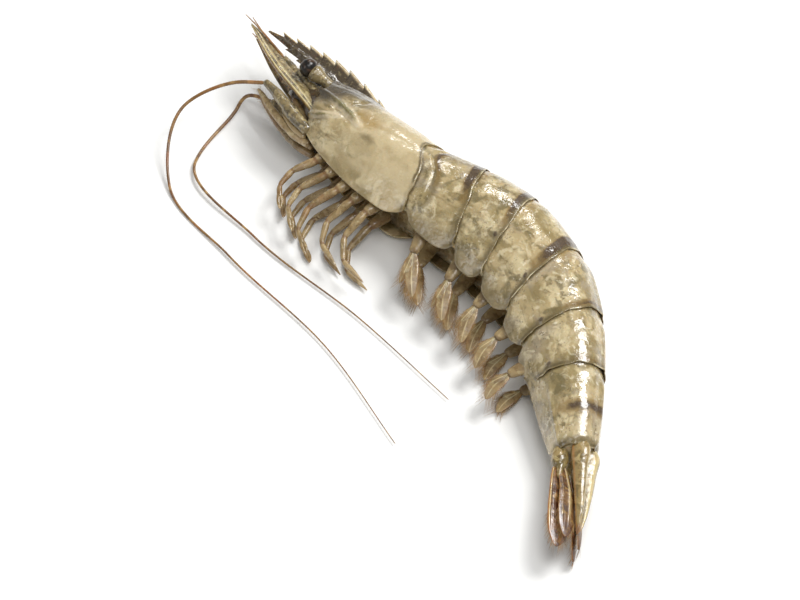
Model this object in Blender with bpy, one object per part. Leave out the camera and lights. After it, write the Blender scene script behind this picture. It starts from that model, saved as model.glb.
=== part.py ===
"""Raw tiger prawn, whole and in its shell, lying on its right side.

Every shell plate, limb, feeler and tail blade is its own closed solid. Metres, +Z up: the head points
to -X, the back to +Y and the left flank up. Tables are in millimetres and degrees. A place on the body
is (station, left, up): station counts from the eye socket back along the body's middle, left is towards
the left flank, and up is towards the back.
"""

import math

import bmesh
import bpy
import numpy as np
from mathutils import Matrix, Vector

MM = 0.001
GAP = 0.4  # clearance between neighbouring solids
SIDES = {"left": 1, "right": -1}

# Driving lengths along the body, from the eye socket back.
CARAPACE = 48.0
SEGMENTS = (18.5, 16.0, 18.0, 16.5, 15.5, 25.0)
HINGES = np.cumsum((CARAPACE,) + SEGMENTS)
ROSTRUM = 31.0
TELSON = 27.0

# The body's middle line: which way it runs, how far the back is rolled up, its height over the floor.
BEND = (
    (0, -3), (30, -1), (50, 4), (66, 1), (82, -9),
    (100, -23), (117, -36), (132, -42), (157, -43), (185, -50),
)
ROLL = ((0, 13), (66, 15), (100, 18), (132, 23), (157, 28), (185, 34))
HEIGHT = (
    (0, 12.0), (30, 12.4), (50, 12.8), (75, 13.0), (100, 12.4),
    (117, 11.5), (132, 10.6), (157, 9.2), (185, 8.6),
)

# The shell's cross-section along the body.
HALF_WIDTH = (
    (0, 8.2), (8, 10.2), (20, 12.0), (36, 13.0), (50, 12.6), (74, 13.0), (92, 12.6), (109, 11.6),
    (125, 10.2), (134, 9.0), (145, 7.9), (157.5, 6.4),
)
TOP = (
    (0, 11.0), (8, 12.6), (20, 13.6), (36, 14.0), (46, 13.6), (58, 15.3), (74, 17.0), (92, 16.6),
    (109, 14.6), (125, 12.4), (134, 11.0), (145, 9.5), (157.5, 6.9),
)
BOTTOM = (
    (0, 5.2), (5, 7.4), (12, 10.2), (24, 13.0), (48, 15.0), (58, 15.6), (74, 16.6), (92, 16.0),
    (109, 14.4), (125, 12.2), (134, 10.4), (145, 8.6), (157.5, 6.2),
)
NARROWING = ((0, 0.45), (30, 0.4), (60, 0.36), (100, 0.38), (126, 0.42), (136, 0.6), (157, 0.6))
BELLY_RECESS = ((0, 1.2), (20, 3.5), (60, 4.0), (110, 3.6), (128, 2.0), (136, -0.4), (157, -0.5))
BACK_FULLNESS, SIDE_FULLNESS = 0.94, 0.84
FLANK_POINTS = 23

# Plate edges: each leans back towards the belly and steps out a little over the next plate.
EDGE_LEAN = (0.16, 0.40, 0.36, 0.32, 0.22, 0.06, 0.0)
NOTCH_DEPTH, NOTCH_UP, NOTCH_WIDTH = 4.6, 8.5, 4.6
SOCKET_UP, FRONT_LEAN = 9.0, 0.36
LIP_RISE, FRONT_DROP = 0.014, 0.014
LOBE_LIFT = 0.14
DISH = 0.6
# The belly side of a plate: (share of the lower edge's half width, share of the recess) of each point.
BELLY_POINTS = ((0.9, 0.3), (0.62, 1.0), (-0.62, 1.0), (-0.9, 0.3))
PLATE_SHARES = {0: (0, 0.06, 0.2, 0.4, 0.6, 0.8, 0.94, 1), 6: (0, 0.12, 0.35, 0.6, 0.85, 1)}
SHORT_PLATE_SHARES = (0, 0.12, 0.4, 0.7, 0.92, 1)

# The rostrum, a thin toothed blade on the carapace's midline: its two edges along the body, and its teeth.
CREST = ((-31, 11.3), (-22, 13.4), (-10, 15.6), (-2, 16.4), (6, 16.0), (14, 14.8), (22, 13.2))
KEEL = ((-31, 10.6), (-22, 10.4), (-10, 9.0), (0, 7.6), (22, 9.0))
BACK_TEETH = (-25.5, -20.5, -15.5, -10.5, -5.5, 0.5, 7.5, 15.0)
KEEL_TEETH = (-21.0, -15.5, -10.0)
TOOTH_LENGTH, TOOTH_HEIGHT, KEEL_TOOTH_SHARE = 4.2, 1.5, 0.7
BLADE_HALF, BLADE_TAPER = 1.1, 14.0
BLADE_END = 22.0

# The telson: (share of its length, half width, depth, height of its underside over the middle line).
TELSON_ROWS = (
    (0, 4.6, 5.0, 1.0), (0.06, 5.0, 5.6, 0.87), (0.3, 4.5, 4.6, 0.73), (0.6, 3.4, 3.4, 0.6),
    (0.85, 2.1, 2.4, 0.47), (0.97, 1.2, 1.6, 0.33), (1, 0.4, 0.8, 0.2),
)
TELSON_OUTLINE = (
    (-1, 0.25), (-0.72, 1), (-0.3, 0.96), (0, 0.8), (0.3, 0.96), (0.72, 1), (1, 0.25), (0.6, 0), (-0.6, 0),
)

# A tail blade: share of its length and of its breadth, and the ridge and hollow of its thin section as
# (share across, rise over the flat).
BLADE_ROWS = ((0, 0.30), (0.08, 0.5), (0.3, 0.82), (0.6, 1.0), (0.82, 0.86), (0.94, 0.6), (1, 0.2))
BLADE_SECTION = ((-1, 0), (-0.4, 0.38), (0.5, 0.5), (1, 0), (0.5, -0.4), (-0.4, -0.3))
BLADE_ROOT = 6.3
BLADE_FAN_OUT = 3.2  # how quickly the blades spread from their root
# name: (length, left and up of its inner edge, left and up of its outer edge) at its broadest.
TAIL_BLADES = {
    "inner": (24.0, (0.7, 0.0), (6.2, -2.2)),
    "outer": (27.0, (1.0, -2.0), (7.6, -4.9)),
}

# Limbs that follow the body: rows of (station, left, up, half width, half thickness).
TAIL_KNOB = (
    (0.3, 3.4, -2.6, 1.9, 2.0), (1.0, 3.5, -2.6, 2.5, 2.5), (3.0, 3.9, -2.6, 2.8, 2.7),
    (5.0, 4.2, -2.6, 2.3, 2.2), (5.7, 4.3, -2.6, 1.4, 1.4),
)
EYE_STALK = (
    (-1.0, 4.0, 8.3, 1.1, 1.1), (-2.2, 4.7, 8.15, 1.3, 1.3),
    (-3.4, 5.3, 8.0, 1.6, 1.6), (-4.6, 5.8, 7.9, 1.7, 1.7),
)
EYE_MIDDLE, EYE_RADIUS = (-7.9, 6.6, 7.6), 3.0
EYE_RINGS = (15, 50, 90, 130, 165)
ANTENNULE_BASE = (
    (0.5, 2.6, 4.2, 1.7, 1.5), (-5, 2.4, 4.7, 1.8, 1.6), (-7, 2.4, 4.9, 1.4, 1.2),
    (-13, 2.2, 5.6, 1.3, 1.1), (-19.5, 2.1, 6.6, 1.0, 0.9),
)
WHIPS = (
    (
        (-20.2, 2.8, 6.6, 0.5, 0.45), (-25, 3.55, 7.4, 0.4, 0.36),
        (-31, 4.7, 8.2, 0.28, 0.26), (-38, 5.3, 8.8, 0.16, 0.16),
    ),
    (
        (-20.2, 1.5, 6.6, 0.5, 0.45), (-25, 1.6, 7.4, 0.4, 0.36),
        (-31, 1.6, 8.87, 0.28, 0.26), (-38, 1.4, 10.8, 0.16, 0.16),
    ),
)
ANTENNA_BASE = (
    (3.0, 6.2, -7.2, 2.0, 1.8), (-2, 6.4, -6.4, 2.2, 2.0),
    (-8, 6.0, -5.0, 1.8, 1.6), (-14, 5.6, -4.2, 1.2, 1.1),
)
JAW_LEG = (
    (10.5, 3.2, -10.2, 1.2, 1.1), (2, 3.4, -10.6, 1.35, 1.25),
    (-8, 3.2, -8.8, 1.15, 1.05), (-17, 2.8, -6.4, 0.4, 0.4),
)

# The broad scale beside the feeler: (share of its length, breadth, up of its outer rib), and its section.
SCALE_ROWS = (
    (0, 2.4, -3.2), (0.08, 4.0, -2.6), (0.25, 5.8, -1.3), (0.5, 6.3, 0.6),
    (0.75, 4.9, 3.6), (0.92, 3.0, 6.3), (1, 0.9, 7.6),
)
SCALE_SECTION = ((0, 0), (0.12, 0.5), (0.5, 0.35), (1, 0), (0.5, -0.25), (0.12, -0.5))
SCALE_FRONT, SCALE_LENGTH, SCALE_OUT, SCALE_IN = 1.5, 36.0, 7.6, 3.6
SCALE_LEAN = (-0.86, 0.5)

# Walking legs: station and length, which way the upper part runs and which way the lower part folds.
LEGS = (
    (17.0, 26, -130, -44), (22.9, 29, -123, -36), (29.2, 33, -116, -28),
    (34.9, 31, -104, -16), (40.6, 32, -92, -6),
)
LEG_SIZE = (1.7, 1.6, 1.3, 1.15, 1.15, 1.2, 1.0, 0.95, 1.0, 0.8, 0.25)
LEG_LEFT, LEG_SINK, LEG_HIP_WAY = 4.2, 1.1, -100
LEG_SHARES = (0.16, 0.30, 0.24, 0.30)
LEG_DIPS = {"left": (4, 25, 15, 8), "right": (4, 20, 6, 0)}

# Swimming legs, one pair under each plate: a stem and a leaf, each (share of length, swing back, dips).
PADDLE_LENGTH, PADDLE_SHRINK, PADDLE_LEFT, PADDLE_DROP = 23.0, 1.6, 5.2, 3.0
PADDLE_PARTS = ((0.36, -78, {"left": 16, "right": 4}), (0.64, -50, {"left": 20, "right": 6}))
PADDLE_SIZE = (
    (1.5, 1.1), (1.9, 1.1), (1.8, 0.8), (1.5, 0.6), (2.2, 0.6), (2.4, 0.5), (1.7, 0.4), (0.5, 0.2),
)

# The long feelers: from the head they sweep round in front and back along the belly on the floor.
# Each row is (along X, along Y, height) from the feeler's root, then how far side moves it in X and Y.
FEELER_ROOT = (-14.8, 5.5, -4.1)
FEELER_START = ((0, 0, 0, 0, 0), (-9, -4.0, -2.5, 0, -1.6), (-12, -15, -7, -4, -4))
FEELER_FLOOR = ((-2, -36, 1.2, 0, -4), (30, -43, 0.9, 0, -4), (75, -46, 0.9, 0, -6), (115, -54, 0.9, 0, -10))
FEELER_POINTS, FEELER_THICK, FEELER_THIN = 44, 0.75, 0.3


def curve(table, at):
    """The smooth curve through a table of (place, value) pairs, level beyond its ends."""
    places, values = np.array(table, float).T
    slopes = np.gradient(values, places)
    at = np.clip(np.asarray(at, float), places[0], places[-1])
    i = np.clip(np.searchsorted(places, at) - 1, 0, len(places) - 2)
    step = places[i + 1] - places[i]
    t = (at - places[i]) / step
    start = (1 + 2 * t) * (1 - t) ** 2 * values[i] + t * (1 - t) ** 2 * step * slopes[i]
    return start + t * t * (3 - 2 * t) * values[i + 1] + t * t * (t - 1) * step * slopes[i + 1]


WALK = np.arange(-60.0, 230.0, 0.5)
WALK_X = np.cumsum(np.cos(np.radians(curve(BEND, WALK)))) * 0.5
WALK_Y = np.cumsum(np.sin(np.radians(curve(BEND, WALK)))) * 0.5


def place(station, left, up):
    """World points in millimetres at body places, none below the floor."""
    station, left, up = np.broadcast_arrays(station, left, up)
    bearing, roll = np.radians(curve(BEND, station)), np.radians(curve(ROLL, station))
    across = up * np.cos(roll) - left * np.sin(roll)
    x = np.interp(station, WALK, WALK_X) - across * np.sin(bearing)
    y = np.interp(station, WALK, WALK_Y) + across * np.cos(bearing)
    z = curve(HEIGHT, station) + left * np.cos(roll) + up * np.sin(roll)
    return np.stack([x, y, np.maximum(z, 0)], axis=-1)


def flank(station, turn, lobe=0.0):
    """(left, up) of the shell's outside: turn runs from -1 at the right lower edge over the back to 1."""
    top, bottom, half = curve(TOP, station), curve(BOTTOM, station), curve(HALF_WIDTH, station)
    round_back = np.clip(np.abs(turn), 0, 0.5) * math.pi
    down = np.clip(2 * np.abs(turn) - 1, 0, 1)
    up = top * np.cos(round_back) ** BACK_FULLNESS - bottom * down * (1 - lobe * down**3)
    left = half * np.sin(round_back) ** SIDE_FULLNESS * (1 - curve(NARROWING, station) * down**1.7)
    return np.sign(turn) * left, up


def edge(joint, up, swell):
    """How far behind its hinge a plate's rear edge lies, at a height on the body."""
    lean = -EDGE_LEAN[joint] * up
    if joint == 0:
        lean = lean - NOTCH_DEPTH * np.exp(-(((up / swell - NOTCH_UP) / NOTCH_WIDTH) ** 2))
    return lean


def front_edge(joint, up, swell):
    """Station of a plate's front edge: the eye socket's slope, or just behind the plate before."""
    if joint < 0:
        return FRONT_LEAN * (SOCKET_UP - up)
    return HINGES[joint] + edge(joint, up, swell) + GAP


def plate_ring(number, share):
    """A ring of points round shell plate number, share of the way from its front edge to its rear edge."""
    turn = np.linspace(-1, 1, FLANK_POINTS)
    lobe = LOBE_LIFT * abs(2 * share - 1) ** 2.5 if 0 < number < 6 else 0.0
    nearest = HINGES[number] if share > 0.5 or number == 0 else HINGES[number - 1]
    station = np.full(FLANK_POINTS, nearest)
    swell = 1 + LIP_RISE * share**3 - FRONT_DROP * (1 - share) ** 3 * (number > 0)
    in_share, rise_share = np.array(BELLY_POINTS).T
    for _ in range(4):
        left, up = np.array(flank(station[:FLANK_POINTS], turn, lobe)) * swell
        recess = curve(BELLY_RECESS, station[FLANK_POINTS - 1])
        left = np.concatenate([left, left[-1] * in_share])
        up = np.concatenate([up, up[-1] + recess * rise_share])
        front, rear = front_edge(number - 1, up, swell), HINGES[number] + edge(number, up, swell)
        station = front + (rear - front) * share
    return place(station, left, up)


def new_solid(name, rings, material, dish=0.0):
    """One named object of rings of millimetre points bridged in order, closed by a fan at each end.

    The middle of each end lies dish millimetres inside its ring.
    """
    mesh = bmesh.new()
    loops = [[mesh.verts.new(Vector(point) * MM) for point in ring] for ring in rings]
    for before, after in zip(loops, loops[1:]):
        for i in range(len(before)):
            mesh.faces.new((before[i - 1], before[i], after[i], after[i - 1]))
    middles = [np.mean(ring, axis=0) for ring in rings]
    for loop, end, within in ((loops[0], middles[0], middles[1]), (loops[-1], middles[-1], middles[-2])):
        inwards = (within - end) / np.linalg.norm(within - end)
        hub = mesh.verts.new(Vector(end + inwards * dish) * MM)
        for i in range(len(loop)):
            mesh.faces.new((loop[i - 1], loop[i], hub))
    bmesh.ops.recalc_face_normals(mesh, faces=mesh.faces)
    data = bpy.data.meshes.new(name)
    mesh.to_mesh(data)
    mesh.free()
    data.shade_smooth()
    data.materials.append(material)
    solid = bpy.data.objects.new(name, data)
    bpy.context.scene.collection.objects.link(solid)
    return solid


def new_material(name, colour, roughness):
    material = bpy.data.materials.new(name)
    material.use_nodes = True
    shader = material.node_tree.nodes["Principled BSDF"]
    shader.inputs["Base Color"].default_value = (*colour, 1)
    shader.inputs["Roughness"].default_value = roughness
    shader.inputs["Metallic"].default_value = 0
    return material


def sweep(path, across, thick, sides, cross=(0, 0, 1)):
    """Rings of an oval limb along a path of world points: across and thick are its half sizes there.

    The limb's thickness is measured as near as it can be along cross.
    """
    path = np.array(path, float)
    path[:, 2] = np.maximum(path[:, 2], thick)
    along = np.gradient(path, axis=0)
    along /= np.linalg.norm(along, axis=1)[:, None]
    flat = np.cross(along, np.broadcast_to(cross, along.shape))
    flat /= np.linalg.norm(flat, axis=1)[:, None]
    normal = np.cross(flat, along)
    turn = np.arange(sides) * 2 * math.pi / sides
    rings = []
    for i in range(len(path)):
        sideways = np.outer(np.cos(turn) * across[i], flat[i])
        ring = path[i] + sideways + np.outer(np.sin(turn) * thick[i], normal[i])
        ring[:, 2] = np.maximum(ring[:, 2], 0)
        rings.append(ring)
    return rings


def smooth_path(points, count):
    """count points along the smooth curve through a few world points."""
    points = np.asarray(points, float)
    knots = np.concatenate([[0], np.cumsum(np.linalg.norm(np.diff(points, axis=0), axis=1))])
    at = np.linspace(0, knots[-1], count)
    return np.stack([curve(list(zip(knots, axis)), at) for axis in points.T], axis=1)


def turned(length, bearing, dip):
    """A step of some length: bearing in the floor plane from +X, dip below the horizontal."""
    bearing, dip = math.radians(bearing), math.radians(dip)
    level = math.cos(dip)
    return np.array([math.cos(bearing) * level, math.sin(bearing) * level, -math.sin(dip)]) * length


def add_limb(name, rows, side, count, sides, material):
    """A rounded limb through rows of (station, left, up, half width, half thickness), on one side."""
    rows = np.array(rows, float)
    at = np.linspace(0, len(rows) - 1, count)
    station, left, up, across, thick = [curve(list(enumerate(column)), at) for column in rows.T]
    new_solid(name, sweep(place(station, side * left, up), across, thick, sides), material)


def make_plates(shell):
    """The carapace and the six plates behind it."""
    for number in range(len(HINGES)):
        name = f"abdomen_plate_{number}" if number else "carapace"
        rings = [plate_ring(number, share) for share in PLATE_SHARES.get(number, SHORT_PLATE_SHARES)]
        new_solid(name, rings, shell, DISH)


def saw(station, teeth):
    """Height of a row of forward-pointing teeth, each sharp in front and sloping away behind."""
    rise = [np.clip(1 - (station - tooth) / TOOTH_LENGTH, 0, 1) * (station >= tooth) for tooth in teeth]
    return TOOTH_HEIGHT * np.max(rise, axis=0)


def make_rostrum(shell):
    """The blade joined to the carapace: four-sided rings from its tip back, some at each tooth."""
    stations = [-ROSTRUM, -ROSTRUM + 2.0]
    for tooth in sorted(BACK_TEETH + KEEL_TEETH):
        stations += [tooth - 0.3, tooth + 0.01, tooth + 2.0]
    stations = np.array(sorted(stations) + [BLADE_END - 3.0, BLADE_END])
    high = curve(CREST, stations) + saw(stations, BACK_TEETH)
    low = curve(KEEL, stations) - KEEL_TOOTH_SHARE * saw(stations, KEEL_TEETH)
    half = BLADE_HALF * np.clip((stations + ROSTRUM + 2.0) / BLADE_TAPER, 0.1, 1)
    middle = (high + low) / 2
    rings = [
        place(s, np.array([0, h, 0, -h]), np.array([top, mid, bottom, mid]))
        for s, h, top, mid, bottom in zip(stations, half, high, middle, low)
    ]
    blade = new_solid("rostrum_blade", rings, shell)
    blade.hide_render = True
    blade.display_type = "WIRE"
    join = bpy.data.objects["carapace"].modifiers.new("rostrum", "BOOLEAN")
    join.operation = "UNION"
    join.object = blade


def make_tail(shell, fan):
    """The telson, the two knobs beside it and the four blades folded below it."""
    start = HINGES[6] + GAP
    side_share, rise_share = np.array(TELSON_OUTLINE).T
    rings = []
    for share, half, deep, low in TELSON_ROWS:
        rings.append(place(start + TELSON * share, half * side_share, low + deep * rise_share))
    new_solid("telson", rings, shell)
    knob = [(start + row[0], *row[1:]) for row in TAIL_KNOB]
    for side_name, side in SIDES.items():
        add_limb(f"tail_knob_{side_name}", knob, side, len(knob), 8, shell)
        for blade, (length, inner, outer) in TAIL_BLADES.items():
            rings = tail_blade_rings(start + BLADE_ROOT, length, np.array(inner), np.array(outer), side)
            new_solid(f"{blade}_tail_blade_{side_name}", rings, fan)


def tail_blade_rings(start, length, inner, outer, side):
    """A thin leaf, broad past its middle: inner and outer are (left, up) of its edges at its broadest."""
    middle, reach = (inner + outer) / 2, (outer - inner) / 2
    root = (inner + outer) * 0.3 + np.array([1.8, -1.2])
    upward = np.array([-reach[1], reach[0]]) / np.hypot(*reach)
    rings = []
    for share, wide in BLADE_ROWS:
        centre = root + (middle - root) * min(1, share * BLADE_FAN_OUT)
        leaf = np.array([centre + reach * wide * across + upward * rise for across, rise in BLADE_SECTION])
        rings.append(place(start + length * share, side * leaf[:, 0], leaf[:, 1]))
    return rings


def make_head(shell, horn, eye_black):
    """Eyes on their stalks, the feelers' bases and short whips, and the two broad scales below them."""
    around = np.radians(EYE_RINGS)
    ahead, out, up = EYE_MIDDLE
    for side_name, side in SIDES.items():
        add_limb(f"eye_stalk_{side_name}", EYE_STALK, side, 4, 8, shell)
        size = EYE_RADIUS * np.sin(around)
        ball = place(ahead + EYE_RADIUS * np.cos(around), side * out, up)
        new_solid(f"eye_{side_name}", sweep(ball, size, size, 10), eye_black)
        add_limb(f"antennule_base_{side_name}", ANTENNULE_BASE, side, 5, 6, shell)
        for branch, rows in enumerate(WHIPS, 1):
            add_limb(f"antennule_whip_{branch}_{side_name}", rows, side, 6, 5, horn)
        add_limb(f"antenna_base_{side_name}", ANTENNA_BASE, side, 4, 7, shell)
        new_solid(f"antennal_scale_{side_name}", scale_rings(side), shell)


def scale_rings(side):
    """A long flat scale with a stiff outer rib, held under the rostrum."""
    across, thick = np.array(SCALE_SECTION).T
    lean_left, lean_up = SCALE_LEAN
    rings = []
    for share, wide, rib in SCALE_ROWS:
        left = SCALE_OUT - SCALE_IN * share**1.6 + lean_left * wide * across + lean_up * thick
        up = rib + lean_up * wide * across - lean_left * thick
        rings.append(place(SCALE_FRONT - SCALE_LENGTH * share, side * left, up))
    return rings


def make_limbs(limb):
    """Jaw legs, five pairs of walking legs and five pairs of swimming legs."""
    for side_name, side in SIDES.items():
        add_limb(f"jaw_leg_{side_name}", JAW_LEG, side, 7, 6, limb)
        for number, leg in enumerate(LEGS, 1):
            path = leg_path(side_name, side, *leg)
            size = np.array(LEG_SIZE)
            new_solid(f"walking_leg_{number}_{side_name}", sweep(path, size, size * 0.85, 6), limb)
        for number in range(1, 6):
            across, thick = np.array(PADDLE_SIZE).T
            rings = sweep(paddle_path(side_name, side, number), across, thick, 6)
            new_solid(f"swimming_leg_{number}_{side_name}", rings, limb)


def leg_path(side_name, side, station, length, way, fold):
    """World points down one walking leg: hip, upper part, knee and the part folded back."""
    root = place(station, side * LEG_LEFT, LEG_SINK - curve(BOTTOM, station))
    ways = (LEG_HIP_WAY, way, (way + fold) / 2, fold)
    steps = [turned(length * share, *turn) for share, *turn in zip(LEG_SHARES, ways, LEG_DIPS[side_name])]
    return smooth_path([root, *(root + np.cumsum(steps, axis=0))], len(LEG_SIZE))


def paddle_path(side_name, side, number):
    """World points down one swimming leg: its stem, then its leaf swung back."""
    station = (HINGES[number - 1] + HINGES[number]) / 2 + 1.0
    belly = curve(BELLY_RECESS, station) - curve(BOTTOM, station)
    points = [place(station, side * PADDLE_LEFT, belly - PADDLE_DROP)]
    for share, swing, dips in PADDLE_PARTS:
        length = (PADDLE_LENGTH - PADDLE_SHRINK * number) * share
        points.append(points[-1] + turned(length, curve(BEND, station) + swing, dips[side_name]))
    return smooth_path(points, len(PADDLE_SIZE))


def make_feelers(horn):
    """The two long feelers."""
    station, left, up = FEELER_ROOT
    for side_name, side in SIDES.items():
        root = place(station, side * left, up)
        route = [root + (x + side * dx, y + side * dy, z) for x, y, z, dx, dy in FEELER_START]
        route += [(root[0] + x + side * dx, root[1] + y + side * dy, z) for x, y, z, dx, dy in FEELER_FLOOR]
        path = smooth_path(route, FEELER_POINTS)
        path[:, 2] = np.maximum(path[:, 2], FEELER_THICK)
        size = np.linspace(FEELER_THICK, FEELER_THIN, FEELER_POINTS)
        new_solid(f"feeler_{side_name}", sweep(path, size, size, 5), horn)


def centre():
    """Moves all of it so that the middle of its underside is the origin."""
    points = np.array([v.co for solid in bpy.data.objects for v in solid.data.vertices])
    low, high = points.min(axis=0), points.max(axis=0)
    shift = Matrix.Translation((-(low[0] + high[0]) / 2, -(low[1] + high[1]) / 2, -low[2]))
    for solid in bpy.data.objects:
        solid.data.transform(shift)


for old in list(bpy.data.objects):
    bpy.data.objects.remove(old)

shell = new_material("shell", (0.52, 0.44, 0.28), 0.35)
fan = new_material("tail_fan", (0.36, 0.20, 0.09), 0.4)
horn = new_material("horn", (0.45, 0.22, 0.08), 0.45)
limb = new_material("limb", (0.50, 0.36, 0.18), 0.45)
eye_black = new_material("eye_black", (0.012, 0.010, 0.010), 0.12)

make_plates(shell)
make_rostrum(shell)
make_tail(shell, fan)
make_head(shell, horn, eye_black)
make_limbs(limb)
make_feelers(horn)
centre()
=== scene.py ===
"""Raw tiger prawn: the looks of every piece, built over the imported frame.

Pieces are formed in millimetres at body places (station, left, up): station runs from the eye socket back
along the body's middle line, left is towards the upper flank and up is towards the back.
"""

import math

import bpy
import numpy as np
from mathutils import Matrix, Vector


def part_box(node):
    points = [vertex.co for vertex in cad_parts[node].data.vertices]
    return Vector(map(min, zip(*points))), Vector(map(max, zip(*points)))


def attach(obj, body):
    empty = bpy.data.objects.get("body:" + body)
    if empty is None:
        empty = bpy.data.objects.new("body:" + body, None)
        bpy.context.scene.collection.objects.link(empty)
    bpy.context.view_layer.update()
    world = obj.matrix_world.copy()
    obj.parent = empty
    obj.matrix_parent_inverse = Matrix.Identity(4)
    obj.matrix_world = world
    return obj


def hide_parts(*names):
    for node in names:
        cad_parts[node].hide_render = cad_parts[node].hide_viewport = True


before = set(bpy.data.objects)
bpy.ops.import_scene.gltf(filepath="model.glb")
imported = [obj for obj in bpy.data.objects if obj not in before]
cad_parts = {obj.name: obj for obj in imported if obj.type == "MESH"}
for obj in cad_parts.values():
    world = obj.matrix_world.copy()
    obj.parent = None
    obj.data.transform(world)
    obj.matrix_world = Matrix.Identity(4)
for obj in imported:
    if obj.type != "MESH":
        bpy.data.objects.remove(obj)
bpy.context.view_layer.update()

MM = 0.001
SIDES = {"left": 1, "right": -1}

# ---- the body's form, as in the solids

CARAPACE = 48.0
SEGMENTS = (18.5, 16.0, 18.0, 16.5, 15.5, 25.0)
HINGES = np.cumsum((CARAPACE,) + SEGMENTS)
BEND = (
    (0, -3), (30, -1), (50, 4), (66, 1), (82, -9),
    (100, -23), (117, -36), (132, -42), (157, -43), (185, -50),
)
ROLL = ((0, 13), (66, 15), (100, 18), (132, 23), (157, 28), (185, 34))
HEIGHT = (
    (0, 12.0), (30, 12.4), (50, 12.8), (75, 13.0), (100, 12.4),
    (117, 11.5), (132, 10.6), (157, 9.2), (185, 8.6),
)
HALF_WIDTH = (
    (0, 8.2), (8, 10.2), (20, 12.0), (36, 13.0), (50, 12.6), (74, 13.0), (92, 12.6), (109, 11.6),
    (125, 10.2), (134, 9.0), (145, 7.9), (157.5, 6.4),
)
TOP = (
    (0, 11.0), (8, 12.6), (20, 13.6), (36, 14.0), (46, 13.6), (58, 15.3), (74, 17.0), (92, 16.6),
    (109, 14.6), (125, 12.4), (134, 11.0), (145, 9.5), (157.5, 6.9),
)
BOTTOM = (
    (0, 5.2), (5, 7.4), (12, 10.2), (24, 13.0), (48, 15.0), (58, 15.6), (74, 16.6), (92, 16.0),
    (109, 14.4), (125, 12.2), (134, 10.4), (145, 8.6), (157.5, 6.2),
)
NARROWING = ((0, 0.45), (30, 0.4), (60, 0.36), (100, 0.38), (126, 0.42), (136, 0.6), (157, 0.6))
BELLY_RECESS = ((0, 1.2), (20, 3.5), (60, 4.0), (110, 3.6), (128, 2.0), (136, -0.4), (157, -0.5))
BACK_FULLNESS, SIDE_FULLNESS = 0.94, 0.84
EDGE_LEAN = (0.16, 0.4, 0.36, 0.32, 0.22, 0.06, 0.0)
NOTCH_DEPTH, NOTCH_UP, NOTCH_WIDTH = 4.6, 8.5, 4.6
SOCKET_UP, FRONT_LEAN = 9.0, 0.36
EYE_MIDDLE, EYE_RADIUS = (-7.9, 6.6, 7.6), 3.0

# In millimetres: how thick the shell is, how far its rear lips lift and how far its covered fronts sink.
SHELL_THICK, LIP_RISE, SUNK = 0.55, 0.22, 0.42
TUCK = 4.0  # how far a plate runs on under the one before


def curve(table, at, column=1):
    """The smooth curve through a table's rows, from places in column 0 to another column, level beyond."""
    rows = np.array(table, float)
    places, values = rows[:, 0], rows[:, column]
    slopes = np.gradient(values, places)
    at = np.clip(np.asarray(at, float), places[0], places[-1])
    i = np.clip(np.searchsorted(places, at) - 1, 0, len(places) - 2)
    step = places[i + 1] - places[i]
    t = (at - places[i]) / step
    start = (1 + 2 * t) * (1 - t) ** 2 * values[i] + t * (1 - t) ** 2 * step * slopes[i]
    return start + t * t * (3 - 2 * t) * values[i + 1] + t * t * (t - 1) * step * slopes[i + 1]


WALK = np.arange(-60.0, 230.0, 0.5)
WALK_X = np.cumsum(np.cos(np.radians(curve(BEND, WALK)))) * 0.5
WALK_Y = np.cumsum(np.sin(np.radians(curve(BEND, WALK)))) * 0.5
OFFSET = np.zeros(3)


def place(station, left, up, floor=0.0):
    """Points in millimetres at body places, none below the floor height given."""
    station, left, up = np.broadcast_arrays(station, left, up)
    bearing, roll = np.radians(curve(BEND, station)), np.radians(curve(ROLL, station))
    across = up * np.cos(roll) - left * np.sin(roll)
    x = np.interp(station, WALK, WALK_X) - across * np.sin(bearing)
    y = np.interp(station, WALK, WALK_Y) + across * np.cos(bearing)
    z = curve(HEIGHT, station) + left * np.cos(roll) + up * np.sin(roll)
    return np.stack([x, y, np.maximum(z, floor)], axis=-1) + OFFSET


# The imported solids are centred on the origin: an eye shows by how much.
eye_low, eye_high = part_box("eye_left")
OFFSET = np.array((*((eye_low + eye_high) / (2 * MM))[:2], 0)) - place(*EYE_MIDDLE) * (1, 1, 0)


def flank(station, turn, lobe=0.0):
    """(left, up) of the shell's outside: turn runs from -1 at the right lower edge over the back to 1."""
    top, bottom, half = curve(TOP, station), curve(BOTTOM, station), curve(HALF_WIDTH, station)
    round_back = np.clip(np.abs(turn), 0, 0.5) * math.pi
    down = np.clip(2 * np.abs(turn) - 1, 0, 1)
    up = top * np.cos(round_back) ** BACK_FULLNESS - bottom * down * (1 - lobe * down**3)
    left = half * np.sin(round_back) ** SIDE_FULLNESS * (1 - curve(NARROWING, station) * down**1.7)
    return np.sign(turn) * left, up


def bump(distance):
    """A smooth bell, 1 in the middle and near 0 beyond 2."""
    return np.exp(-np.square(distance))


def fade(at, start, end):
    """A smooth step from 0 at start to 1 at end, either way round."""
    t = np.clip((np.asarray(at, float) - start) / (end - start), 0, 1)
    return t * t * (3 - 2 * t)


def edge(joint, up):
    """How far behind its hinge a plate's rear edge lies, at a height on the body."""
    lean = -EDGE_LEAN[joint] * up
    if joint == 0:
        lean = lean - NOTCH_DEPTH * bump((up - NOTCH_UP) / NOTCH_WIDTH)
    return lean


def head_edge(up):
    """The carapace's front edge: the eye socket, the spine under it and the rounded lower corner."""
    socket = FRONT_LEAN * (SOCKET_UP - up) + 1.3 * bump((up - 7.2) / 2.2)
    spine = 2.6 * np.clip(1 - np.abs(up - 4.0) / 0.9, 0, 1)
    corner = 0.16 * np.clip(-6.5 - up, 0, None) ** 2
    return socket - spine + corner


# ---- building meshes


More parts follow.
